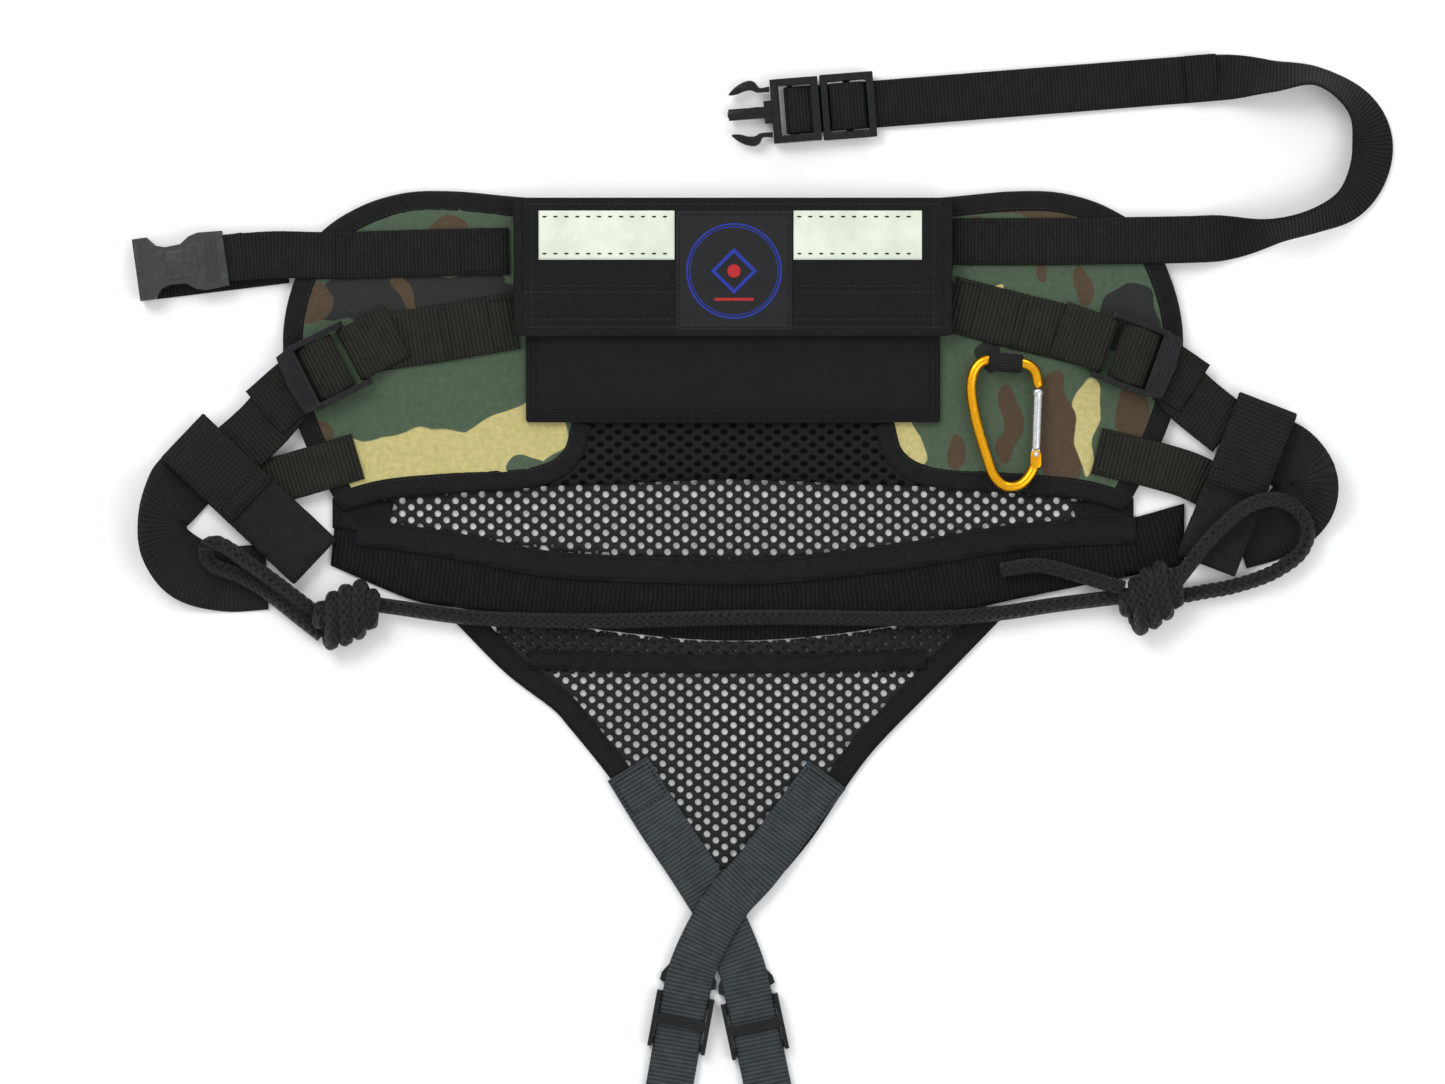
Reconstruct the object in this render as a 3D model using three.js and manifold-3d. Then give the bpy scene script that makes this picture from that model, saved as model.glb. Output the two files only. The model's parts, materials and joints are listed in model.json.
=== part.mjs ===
// Canicross hip belt, lying flat on its inner side with the outer back face up.
// Millimetres. +X to the right as it lies, +Y towards the top edge, +Z up off the floor.
// Origin: under the middle of the waist panel, on the surface that the belt lies on.

import * as THREE from "three";
import { mergeVertices } from "three/addons/utils/BufferGeometryUtils.js";
import Module from "manifold-3d";

const wasm = await Module();
wasm.setup();

// ---- driving dimensions -----------------------------------------------------------------------------
const GAP = 0.3; // between pieces that touch
const CLOTH = 0.8; // thickness of a wing, flap or mesh cloth
const TAPE = 1.1; // thickness of an edge binding
const WEB = 1.4; // thickness of webbing
const PAD_TOP = 5; // top of the spacer pad under the whole waist panel
const CLOTH_TOP = PAD_TOP + GAP + TAPE; // top of the wing cloth and its binding
const ON_WING = CLOTH_TOP + GAP; // underside of what is sewn onto a wing

const BINDING = 11; // visible width of the edge binding
const STRAP = 25; // waist and leg webbing, side tabs
const ADJUSTER_STRAP = 30; // diagonal hip webbing
const LOOP_STRAP = 33; // hip loops

const POCKET_W = 219;
const POCKET_BOTTOM = -12;
const POCKET_TOP = 104;
const POCKET_MOUTH = 84; // top edge of the pocket's front panel
const POCKET_Z = ON_WING; // underside of the pocket
const POCKET_DEEP = 7.6; // from the back panel's underside to the front panel's face
const POCKET_WALL = 0.9;

const FLAP_W = 230;
const FLAP_BOTTOM = 34;
const FLAP_Z = POCKET_Z + POCKET_DEEP + 2.2; // underside of the flap
const FLAP_HINGE_Y = 106;

const STEEP = 0.6; // rise of a run, as a share of its length, past which webbing counts as steep

const ROPE_D = 8;
const CARABINER_ROD = 5.6;

// ---- small tools ------------------------------------------------------------------------------------
const belt = new THREE.Group();

const BLACK = { color: 0x16171a, roughness: 0.85, metalness: 0 };
const BLACK_TAPE = { color: 0x1b1c1f, roughness: 0.75, metalness: 0 };
const BLACK_PLASTIC = { color: 0x1c1d20, roughness: 0.4, metalness: 0 };
const CAMO = { color: 0x6f7f5f, roughness: 0.8, metalness: 0 };
const MESH_CLOTH = { color: 0x23262a, roughness: 0.9, metalness: 0 };
const REFLECTIVE = { color: 0xdfe6e6, roughness: 0.35, metalness: 0 };
const ROPE_LOOK = { color: 0x101114, roughness: 0.7, metalness: 0 };
const GOLD = { color: 0xe2940c, roughness: 0.25, metalness: 1 };
const STEEL = { color: 0xd8dadb, roughness: 0.25, metalness: 1 };

function add(name, geometry, look, parent = belt) {
  const mesh = new THREE.Mesh(geometry, new THREE.MeshStandardMaterial(look));
  mesh.name = name;
  parent.add(mesh);
  return mesh;
}

const v2 = (x, y) => new THREE.Vector2(x, y);
const v3 = (x, y, z) => new THREE.Vector3(x, y, z);

// Even steps along a smooth plane curve through a few points.
function smooth(points, steps) {
  const curve = new THREE.SplineCurve(points.map(([x, y]) => v2(x, y)));
  return curve.getSpacedPoints(steps).map((p) => [p.x, p.y]);
}

// The same line moved sideways, to its left. Points that a sharp corner folds back too close to it are left out.
function beside(line, distance) {
  const moved = line.map(([x, y], i) => {
    const [ax, ay] = line[Math.max(i - 1, 0)];
    const [bx, by] = line[Math.min(i + 1, line.length - 1)];
    const length = Math.hypot(bx - ax, by - ay);
    return [x - ((by - ay) / length) * distance, y + ((bx - ax) / length) * distance];
  });
  const clear = ([x, y]) => line.every(([px, py]) => Math.hypot(x - px, y - py) > Math.abs(distance) * 0.97);
  return moved.filter(clear);
}

const mirrored = (line) => line.map(([x, y]) => [-x, y]).reverse();

// A flat sheet of an outline, from one height to another.
function sheet(outline, low, high, holes = []) {
  const shape = new THREE.Shape(outline.map(([x, y]) => v2(x, y)));
  holes.forEach((hole) => shape.holes.push(new THREE.Path(hole.map(([x, y]) => v2(x, y)))));
  const geometry = new THREE.ExtrudeGeometry(shape, { depth: high - low, bevelEnabled: false });
  return geometry.translate(0, 0, low);
}

// Webbing swept along a curve through [x, y, z, tilt] stations. Its width stays level, and is carried on unturned
// where the run is steep, so it can fold back over a bar; tilt then rolls it about its own run, in degrees.
function webbing(stations, width, thickness, steps) {
  const curve = new THREE.CatmullRomCurve3(stations.map(([x, y, z]) => v3(x, y, z)), false, "centripetal");
  const tilts = stations.map((s) => THREE.MathUtils.degToRad(s[3] ?? 0));
  const start = curve.getTangent(0);
  const carried = v3(-start.y, start.x, 0).normalize();
  const rings = [];
  for (let i = 0; i <= steps; i += 1) {
    const u = i / steps;
    const at = curve.getPoint(u);
    const run = curve.getTangent(u).normalize();
    if (Math.abs(run.z) < STEEP) {
      const level = v3(-run.y, run.x, 0).normalize();
      carried.copy(level.multiplyScalar(Math.sign(level.dot(carried)) || 1));
    } else carried.addScaledVector(run, -carried.dot(run)).normalize();
    const k = Math.min(Math.floor(u * (tilts.length - 1)), tilts.length - 2);
    const tilt = THREE.MathUtils.lerp(tilts[k], tilts[k + 1], u * (tilts.length - 1) - k);
    const half = carried.clone().applyAxisAngle(run, tilt).multiplyScalar(width / 2);
    const up = run.clone().cross(half).normalize().multiplyScalar(thickness / 2);
    rings.push([
      at.clone().sub(half).sub(up),
      at.clone().add(half).sub(up),
      at.clone().add(half).add(up),
      at.clone().sub(half).add(up),
    ]);
  }
  return skin(rings);
}

// Closes a row of matching rings into one solid and makes its faces point out.
function skin(rings) {
  const sides = rings[0].length;
  const position = rings.flat().flatMap((p) => [p.x, p.y, p.z]);
  const index = [];
  for (let i = 0; i + 1 < rings.length; i += 1) {
    for (let j = 0; j < sides; j += 1) {
      const a = i * sides + j;
      const b = i * sides + ((j + 1) % sides);
      index.push(a, b, b + sides, a, b + sides, a + sides);
    }
  }
  const last = (rings.length - 1) * sides;
  for (let j = 1; j + 1 < sides; j += 1) {
    index.push(0, j + 1, j);
    index.push(last, last + j, last + j + 1);
  }
  const geometry = new THREE.BufferGeometry();
  geometry.setAttribute("position", new THREE.Float32BufferAttribute(position, 3));
  geometry.setIndex(index);
  if (volume(geometry) < 0) geometry.setIndex(index.reverse());
  return geometry;
}

function volume(geometry) {
  const p = geometry.attributes.position;
  const at = (i) => v3(p.getX(i), p.getY(i), p.getZ(i));
  let sum = 0;
  for (let i = 0; i < geometry.index.count; i += 3) {
    const [a, b, c] = [0, 1, 2].map((k) => at(geometry.index.getX(i + k)));
    sum += a.dot(b.cross(c)) / 6;
  }
  return sum;
}

// Round bar or rope along a curve through points.
function rod(points, diameter, steps, sides = 8) {
  const path = new THREE.CatmullRomCurve3(points.map((p) => v3(...p)), false, "centripetal");
  const ring = [];
  for (let i = 0; i < sides; i += 1) {
    const angle = (i / sides) * 2 * Math.PI;
    ring.push(v2(Math.cos(angle) * diameter * 0.5, Math.sin(angle) * diameter * 0.5));
  }
  return new THREE.ExtrudeGeometry(new THREE.Shape(ring), { steps, bevelEnabled: false, extrudePath: path });
}

function box(x0, x1, y0, y1, z0, z1) {
  const geometry = new THREE.BoxGeometry(x1 - x0, y1 - y0, z1 - z0);
  return geometry.translate((x0 + x1) / 2, (y0 + y1) / 2, (z0 + z1) / 2);
}

function cylinder(from, to, diameter, sides = 12) {
  const [a, b] = [v3(...from), v3(...to)];
  const geometry = new THREE.CylinderGeometry(diameter / 2, diameter / 2, a.distanceTo(b), sides);
  const turn = new THREE.Quaternion().setFromUnitVectors(v3(0, 1, 0), b.clone().sub(a).normalize());
  const middle = a.clone().add(b).multiplyScalar(0.5);
  return geometry.applyQuaternion(turn).translate(middle.x, middle.y, middle.z);
}

function manifold(geometry) {
  const plain = geometry.clone();
  plain.deleteAttribute("normal");
  plain.deleteAttribute("uv");
  const merged = mergeVertices(plain, 1e-4);
  return new wasm.Manifold(
    new wasm.Mesh({
      numProp: 3,
      vertProperties: new Float32Array(merged.attributes.position.array),
      triVerts: new Uint32Array(merged.index.array),
    }),
  );
}

function carve(base, { join = [], cut = [] }) {
  let result = manifold(base);
  join.forEach((g) => (result = result.add(manifold(g))));
  cut.forEach((g) => (result = result.subtract(manifold(g))));
  const mesh = result.getMesh();
  const geometry = new THREE.BufferGeometry();
  geometry.setAttribute("position", new THREE.Float32BufferAttribute(mesh.vertProperties, 3));
  geometry.setIndex([...mesh.triVerts]);
  return geometry;
}

// ---- waist panel ------------------------------------------------------------------------------------
// Right-hand half of the panel's edge, from the middle of the top round the wing's tip to the notch by the pocket.
const HALF_EDGE = [
  [0, 102], [60, 104], [115, 108], [150, 111], [175, 110], [200, 102], [221, 87], [233, 64], [239, 38],
  [237, 6], [228, -22], [209, -58],
];
const HALF_FOOT = [
  [207, -59], [184, -53], [140, -49], [104, -46], [90, -41], [80, -31], [75, -14],
];

function waistPanel() {
  const edge = smooth(HALF_EDGE, 30);
  const foot = smooth(HALF_FOOT.slice(0, 4), 8);
  const half = [...edge, ...foot];
  add("back_pad", sheet([...half.slice(1), [0, -42], ...mirrored(half.slice(1))], 0, PAD_TOP), MESH_CLOTH);

  const wing = [...smooth(HALF_EDGE.slice(2), 40), ...smooth(HALF_FOOT, 24)];
  const inner = beside(wing, -BINDING);
  const cloth = beside(wing, -(BINDING + GAP));
  for (const [side, turn] of [["left", mirrored], ["right", (line) => line]]) {
    const tape = [...wing, ...[...inner].reverse()];
    add(`wing_binding_${side}`, sheet(turn(tape), PAD_TOP + GAP, CLOTH_TOP), BLACK_TAPE);
    add(`wing_cloth_${side}`, sheet(turn(cloth), PAD_TOP + GAP, PAD_TOP + GAP + CLOTH), CAMO);
  }
}

// ---- pocket -----------------------------------------------------------------------------------------
function pocket() {
  const half = POCKET_W / 2;
  const front = POCKET_Z + POCKET_DEEP;
  const w = POCKET_WALL;
  const seam = box(-FLAP_W / 2, FLAP_W / 2, POCKET_TOP - 1, FLAP_HINGE_Y + 1, POCKET_Z, FLAP_Z - GAP);
  const panels = carve(box(-half, half, POCKET_BOTTOM, POCKET_TOP, POCKET_Z, front), {
    cut: [
      box(-half + w, half - w, POCKET_BOTTOM + w, POCKET_TOP + 1, POCKET_Z + w, front - w),
      box(-half - 1, half + 1, POCKET_MOUTH, POCKET_TOP + 1, POCKET_Z + w, front + 1),
    ],
  });
  add("pocket_body", carve(panels, { join: [seam] }), BLACK);
  add("loop_strip", box(-95, 95, FLAP_BOTTOM + 8, FLAP_BOTTOM + 28, front + GAP, front + GAP + 0.7), BLACK);
  add("hook_strip", box(-95, 95, FLAP_BOTTOM + 8, FLAP_BOTTOM + 28, FLAP_Z - GAP - 0.7, FLAP_Z - GAP), BLACK);
  add("pocket_flap", box(-FLAP_W / 2, FLAP_W / 2, FLAP_BOTTOM, FLAP_HINGE_Y, FLAP_Z, FLAP_Z + 1), BLACK);

  const face = FLAP_Z + 1 + GAP;
  for (const [side, x0, x1] of [["left", -103, -31], ["right", 32, 100]]) {
    add(`reflective_strip_${side}`, box(x0, x1, 74, 100, face, face + 0.5), REFLECTIVE);
  }
  add("emblem_patch", box(-30.5, 31.5, FLAP_BOTTOM + 2, 100, face, face + 0.7), BLACK);
}

// ---- see-through seat -------------------------------------------------------------------------------
const MESH_Z = 0.8;
const SEAT_TOP = [
  [-212, -67], [-165, -73], [-105, -80], [-50, -86], [14, -88], [80, -83], [150, -71], [206, -64], [240, -55],
];
const SEAT_FOOT = [
  [-214, -88], [-168, -107], [-143, -111], [-80, -121], [0, -128], [80, -121], [150, -106], [240, -88],
];
const SEAT_BAND = [
  [-199, -63], [-150, -70], [-98, -80], [-43, -83], [14, -84], [89, -76], [150, -66], [214, -62],
];

function seat() {
  const top = smooth(SEAT_TOP, 28);
  const foot = smooth(SEAT_FOOT, 28);
  const meshEdge = beside(top, GAP + 0.2).filter(([x]) => Math.abs(x) < 190);
  const panelFoot = smooth([[-204, -59.6], [-184, -54], [-140, -50], [-100, -46], [0, -42.6]], 20);
  const panelEdge = [...panelFoot, ...mirrored(panelFoot).slice(1)];
  add("seat_mesh_upper", sheet([...meshEdge, ...[...panelEdge].reverse()], MESH_Z, MESH_Z + CLOTH), MESH_CLOTH);
  add("seat_webbing", sheet([...top, ...[...foot].reverse()], 0.3, 0.3 + WEB), BLACK);
  const band = smooth(SEAT_BAND, 26);
  const bandFoot = [...beside(band, -14)].reverse();
  add("seat_band", sheet([...band, ...bandFoot], 0.3 + WEB + GAP, 0.3 + WEB + GAP + 1), BLACK_TAPE);
}

const TRI_LEFT = [[-147, -119], [-120, -146], [-94, -166], [-88, -173], [-64, -203], [-45, -233], [-28, -262]];
const TRI_RIGHT = [[142, -117], [108, -152], [75, -186], [62, -203], [42, -233], [18, -262]];
const EDGE_TAPE = 12;

function triangle() {
  const left = smooth(TRI_LEFT, 20);
  const right = smooth(TRI_RIGHT, 20);
  const inLeft = beside(left, EDGE_TAPE);
  const inRight = beside(right, -EDGE_TAPE);
  const meshLeft = beside(left, EDGE_TAPE + GAP).slice(1, 20);
  const meshRight = beside(right, -EDGE_TAPE - GAP).slice(1, 20);
  const z = [0, 2.2];
  const tapeLeft = [...left.slice(0, 19), ...inLeft.slice(2, 19).reverse()];
  add("triangle_binding_left", sheet(tapeLeft, ...z), BLACK_TAPE);
  const tapeRight = [...right.slice(0, 19), ...inRight.slice(2, 19).reverse()];
  add("triangle_binding_right", sheet(tapeRight, ...z), BLACK_TAPE);
  const meshTop = beside(smooth(SEAT_FOOT, 28), -GAP - 0.2).filter(([x]) => Math.abs(x) < 104);
  const outline = [...meshTop, ...meshRight, ...[...meshLeft].reverse()];
  add("seat_mesh_lower", sheet(outline, MESH_Z, MESH_Z + CLOTH), MESH_CLOTH);
  const bandTop = smooth([[-104, -133], [0, -135.5], [98, -133]], 12);
  const band = [...bandTop, ...[...beside(bandTop, -10)].reverse()];
  add("triangle_band", sheet(band, MESH_Z + CLOTH + GAP, MESH_Z + CLOTH + GAP + 0.7), BLACK_TAPE);
}

// ---- leg straps -------------------------------------------------------------------------------------
const LEG_LOW_Z = 3.6; // middle of a leg strap where its buckle sits under it
const LEG_STRAPS = {
  left: [
    [-56, -196, 3.2], [-40, -222, 3.2], [-20, -252, 3.2], [-8, -272, 3.2], [4, -300, 3.4],
    [8, -316, LEG_LOW_Z], [20, -372, LEG_LOW_Z], [30, -418, 3.4],
  ],
  right: [
    [50, -199, 3.2], [33, -222, 3.6], [12, -250, 5.2], [-4, -268, 5.4], [-20, -298, 5],
    [-25, -316, LEG_LOW_Z], [-33, -360, LEG_LOW_Z], [-42, -412, 3.4],
  ],
};

// A male side-release buckle that rides on a strap: plate, two walls, end bar and a raised middle bar, seen from
// its webbing side, with its prongs towards +Y. The strap runs through between the middle bar and the plate.
function legBuckle() {
  const half = STRAP / 2 + 0.8;
  const wall = 2.2;
  const body = box(-half - wall, half + wall, 2, 8, 0, 2.4);
  const join = [
    box(-half - wall, -half, -22, 8, 0, 6.4),
    box(half, half + wall, -22, 8, 0, 6.4),
    box(-half - 1, half + 1, -21, -17, 0, 2.4),
    box(-half - 1, half + 1, -9.5, -4.5, 4.8, 6.4),
    box(-2.6, 2.6, 7, 25, 0, 2.4),
    ...[-1, 1].map((side) => prong(side)),
  ];
  return carve(body, { join });
}

// One side prong of a male buckle: a thin springing arm with an arrow-shaped head, out to x = side * 14.
function prong(side) {
  const outline = [
    [9.2, 7], [11.6, 7], [11.4, 12], [15.2, 13.5], [14.8, 17.5],
    [12, 22], [8, 25.5], [8.2, 21], [10.2, 17], [9.4, 13],
  ].map(([x, y]) => [x * side, y]);
  return sheet(side > 0 ? outline : outline.reverse(), 0.2, 2.5);
}

function legs() {
  for (const side of ["left", "right"]) {
    const run = LEG_STRAPS[side];
    const [x, y, z] = run[run.length - 1];
    const [px, py] = run[run.length - 2];
    const length = Math.hypot(x - px, y - py);
    const [dx, dy] = [(x - px) / length, (y - py) / length];
    const hem = [
      [x + dx * 2.5, y + dy * 2.5, z - 0.4], [x + dx * 3, y + dy * 3, z - 1.4], [x + dx, y + dy, z - 2.2],
      [x - dx * 24, y - dy * 24, z - 2.3],
    ];
    add(`leg_strap_${side}`, webbing([...run, ...hem], STRAP, WEB, 44), BLACK);

    const [ax, ay] = run[run.length - 3];
    const angle = Math.atan2(py - ay, px - ax) + Math.PI / 2;
    const buckle = add(`leg_buckle_${side}`, legBuckle(), BLACK_PLASTIC);
    buckle.position.set(ax + (px - ax) * 0.18, ay + (py - ay) * 0.18, 0);
    buckle.rotation.z = angle;
  }
}

// ---- waist strap, left: sewn to the wing, folded round the bar of a female side-release buckle ------
const FEMALE = { at: [-293, 72], angle: 8, length: 48, width: 33, low: 2, high: 11, barX: 19, barZ: 5.6 };
const FOLD = 2.7; // from a bar's axis to the middle of the webbing round it

// A station of webbing that rests on the floor on one edge, rolled by a tilt in degrees.
function lying(x, y, tilt, width) {
  const rise = Math.abs(Math.sin(THREE.MathUtils.degToRad(tilt)));
  return [x, y, 0.3 + WEB / 2 + (width / 2) * rise, tilt];
}

// A point of a turned local frame, in the belt's frame.
function place({ at, angle }, x, y = 0) {
  const a = THREE.MathUtils.degToRad(angle);
  return [at[0] + x * Math.cos(a) - y * Math.sin(a), at[1] + x * Math.sin(a) + y * Math.cos(a)];
}

// Stations of a half turn of webbing round a bar, from below it to above it (or down, with rise -1).
function halfTurn(frame, barX, barZ, outward, rise = 1) {
  return [-90, -45, 0, 45, 90].map((degrees) => {
    const a = THREE.MathUtils.degToRad(degrees * rise);
    return [...place(frame, barX + outward * Math.cos(a) * FOLD), barZ + Math.sin(a) * FOLD];
  });
}

function femaleBuckle() {
  const { length, width, low, high, barX, barZ } = FEMALE;
  const [l, w] = [length / 2, width / 2];
  const top = [
    [-l, w], [-l + 8, w], [-l + 12, w - 5], [-l + 17, w - 6.5],
    [1, w - 6], [6, w - 2.5], [11, w - 1.2], [l, w - 2],
  ];
  const outline = [...top, ...top.map(([x, y]) => [x, -y]).reverse()];
  const body = sheet([...outline].reverse(), low, high);
  const socket = box(-l - 1, 5, -w + 3.2, w - 3.2, low + 2, high - 2);
  const windows = box(-l + 13, 2, -w - 1, w + 1, low + 2, high - 2);
  const strapWay = box(10, l + 1, -13.2, 13.2, low - 1, high - 1.6);
  const bar = cylinder([barX, -14.2, barZ], [barX, 14.2, barZ], 3);
  return carve(carve(body, { cut: [socket, windows, strapWay] }), { join: [bar] });
}

function waistLeft() {
  const run = [
    [-119, 79, ON_WING + WEB / 2], [-160, 78, ON_WING + WEB / 2], [-215, 76.6, ON_WING + WEB / 2],
    [-245, 77, ON_WING + WEB / 2 + 0.4],
  ];
  const turn = halfTurn(FEMALE, FEMALE.barX, FEMALE.barZ, -1, -1);
  const back = [...place(FEMALE, 34), FEMALE.barZ - FOLD];
  add("waist_strap_left", webbing([...run, ...turn, back], STRAP, WEB, 36), BLACK);
  const under = { at: [-275, 68.5], angle: 7 };
  const backing = [[-38, -11], [38, -11], [38, 11], [-38, 11]].map(([x, y]) => place(under, x, y));
  add("buckle_backing", sheet(backing, 0.3, 1.6), BLACK);
  const buckle = add("female_buckle", femaleBuckle(), BLACK_PLASTIC);
  buckle.position.set(...FEMALE.at, 0);
  buckle.rotation.z = THREE.MathUtils.degToRad(FEMALE.angle);
}

// ---- waist strap, right: out past the wing, round a loop and back, doubled through a tri-glide ------
const FRONT = { at: [33.5, 154], angle: 4.5 };
const MALE_BAR = { x: -2.5, z: 4 };
const TAIL_END = 225;
const TAIL_Z = 3.1;
const HEM = 17;

function waistRight() {
  const low = MALE_BAR.z - FOLD;
  const out = [
    [114, 84, ON_WING + WEB / 2], [160, 84, ON_WING + WEB / 2], [236, 85, ON_WING + WEB / 2], [250, 85.5, 5.6],
    lying(267, 86.5, 30, STRAP), lying(288, 89.5, 60, STRAP), lying(310, 95.5, 60, STRAP),
    lying(327, 104.5, 44, STRAP), lying(337, 120, 30, STRAP), lying(339.5, 138, 26, STRAP),
    lying(332, 157, 48, STRAP), lying(310, 171.5, 64, STRAP), lying(286, 171.5, 44, STRAP),
    lying(262, 171.5, 12, STRAP),
  ];
  const lower = [205, 150, 60, 10].map((x) => [...place(FRONT, x), low]);
  const turn = halfTurn(FRONT, MALE_BAR.x, MALE_BAR.z, -1);
  const upperLine = [[9, 5], [15, TAIL_Z], [90, TAIL_Z], [TAIL_END - 2, TAIL_Z]];
  const upper = upperLine.map(([x, z]) => [...place(FRONT, x), z]);
  const hem = [
    [...place(FRONT, TAIL_END), TAIL_Z + 0.9], [...place(FRONT, TAIL_END - 2), TAIL_Z + 1.8],
    [...place(FRONT, TAIL_END - HEM), TAIL_Z + 1.8],
  ];
  add("waist_strap_right", webbing([...out, ...lower, ...turn, ...upper, ...hem], STRAP, WEB, 120), BLACK);
}

function maleBuckleBody() {
  const half = 17;
  const inside = STRAP / 2 + 0.7;
  const [low, high] = [2.4, 8.8];
  return carve(box(-13, -8.5, -half, half, low, high - 1), {
    join: [
      box(-9, 12.5, -half, -inside, low, high),
      box(-9, 12.5, inside, half, low, high),
      box(8.5, 12.5, -inside - 1, inside + 1, 6.9, high),
      cylinder([MALE_BAR.x, -inside - 1, MALE_BAR.z], [MALE_BAR.x, inside + 1, MALE_BAR.z], 3),
      box(-36, -12.5, -3, 3, low + 1, low + 4),
      box(-17, -12, -6, 6, low + 1, low + 4),
    ],
  });
}

// A side prong as its own springing piece: its arm starts just off the body's shoulder.
function sideProng(side) {
  const outline = [
    [-13.3, 10.5], [-13.3, 13.6], [-19, 13.4], [-20.5, 17.4], [-25, 17.6], [-31, 15], [-35.5, 10.6], [-30, 10.4],
    [-25, 11.2], [-21, 10.4],
  ].map(([x, y]) => [x, y * side]);
  return sheet(side < 0 ? outline : outline.reverse(), 3.2, 7);
}

function triGlide() {
  const [x0, x1, half] = [13.5, 42, 17.5];
  const inside = STRAP / 2 + 0.8;
  const [low, high] = [TAIL_Z + WEB / 2 + 0.4, 7.4];
  const middle = (x0 + x1) / 2;
  return carve(box(x0, x1, -half, half, low, high), {
    cut: [
      box(x0 + 4, middle - 1.7, -inside, inside, low - 1, high + 1),
      box(middle + 1.7, x1 - 4, -inside, inside, low - 1, high + 1),
      box(middle - 2, middle + 2, -inside, inside, low + 1.6, high + 1),
    ],
  });
}

function glideHump() {
  const middle = 27.75;
  const z = TAIL_Z + WEB / 2 + 0.4;
  const stations = [
    [middle - 9, 0, z + 0.8], [middle - 5, 0, z + 2], [middle, 0, z + 3],
    [middle + 5, 0, z + 2], [middle + 9, 0, z + 0.8],
  ];
  return webbing(stations, STRAP, WEB, 14);
}

function frontClosure() {
  const group = new THREE.Group();
  group.position.set(...FRONT.at, 0);
  group.rotation.z = THREE.MathUtils.degToRad(FRONT.angle);
  belt.add(group);
  add("male_buckle", maleBuckleBody(), BLACK_PLASTIC, group);
  add("buckle_prong_upper", sideProng(1), BLACK_PLASTIC, group);
  add("buckle_prong_lower", sideProng(-1), BLACK_PLASTIC, group);
  add("tri_glide", triGlide(), BLACK_PLASTIC, group);
  add("glide_hump", glideHump(), BLACK, group);
}

// ---- hip adjusters: diagonal strap, ladder-lock slider, strap on to the hip loop --------------------
const DIAGONAL_Z = ON_WING + WEB / 2;
const SLIDER_BAR = { x: -18, z: DIAGONAL_Z + FOLD };
const SLIDER_LOW = DIAGONAL_Z + WEB * 1.5 + GAP * 2; // above both layers of the hip strap
const SLIDERS = {
  left: {
    at: [-217, 16.5], angle: 207, sewn: [-115, 42], end: [-250, -14], keeper: [-268, -30], tail: [-249, -7],
  },
  right: { at: [214, 23], angle: -20, sewn: [115, 51], end: [243, 1], keeper: [264, -16], tail: [245, 6] },
};

function slider() {
  const inside = ADJUSTER_STRAP / 2 + 0.7;
  const half = inside + 3;
  const [low, high] = [SLIDER_LOW, SLIDER_LOW + 5.2];
  const lever = [[10, -half], [20, -half + 2], [21.5, 0], [20, half - 2], [10, half]];
  return carve(sheet(lever, low, high - 1), {
    join: [
      box(SLIDER_BAR.x, 12, -half, -inside, low, high),
      box(SLIDER_BAR.x, 12, inside, half, low, high),
      cylinder([SLIDER_BAR.x, -half, SLIDER_BAR.z], [SLIDER_BAR.x, half, SLIDER_BAR.z], 3),
      box(-3, 1, -inside - 1, inside + 1, low + 1.4, high - 1.6),
    ],
  });
}

function sliderHump() {
  const low = SLIDER_LOW + WEB / 2 + GAP;
  const top = SLIDER_LOW + 5.2;
  const stations = [[-11, 0, low], [-7, 0, top - 1.6], [-1, 0, top], [5, 0, top - 1.6], [8.6, 0, low]];
  return webbing(stations, ADJUSTER_STRAP, WEB, 14);
}

function adjuster(side) {
  const frame = SLIDERS[side];
  const turn = halfTurn(frame, SLIDER_BAR.x, SLIDER_BAR.z, 1);
  const near = place(frame, SLIDER_BAR.x - 9);
  const [sx, sy] = frame.sewn;
  const middle = [(sx + near[0]) / 2, (sy + near[1]) / 2];
  const back = place(frame, SLIDER_BAR.x - 16);
  const stations = [
    [sx, sy, DIAGONAL_Z], [...middle, DIAGONAL_Z], [...near, DIAGONAL_Z], ...turn,
    [...back, SLIDER_BAR.z - 0.6], [...place(frame, SLIDER_BAR.x - 26), DIAGONAL_Z + WEB + GAP],
  ];
  add(`diagonal_strap_${side}`, webbing(stations, ADJUSTER_STRAP, WEB, 30), BLACK);

  const group = new THREE.Group();
  group.position.set(...frame.at, 0);
  group.rotation.z = THREE.MathUtils.degToRad(frame.angle);
  belt.add(group);
  add(`slider_${side}`, slider(), BLACK_PLASTIC, group);
  add(`slider_hump_${side}`, sliderHump(), BLACK, group);

  const start = place(frame, -8);
  const under = place(frame, 12);
  const strap = [
    [...start, DIAGONAL_Z], [...under, DIAGONAL_Z], [...frame.end, DIAGONAL_Z], [...frame.keeper, 6.3],
  ];
  add(`hip_strap_${side}`, webbing(strap, ADJUSTER_STRAP, WEB, 20), BLACK);
  const tail = [-2, 12].map((x) => [...place(frame, x), DIAGONAL_Z + WEB + GAP]);
  tail.push([...frame.tail, DIAGONAL_Z + WEB + GAP]);
  add(`hip_tail_${side}`, webbing(tail, ADJUSTER_STRAP, WEB, 12), BLACK);
}

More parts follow.
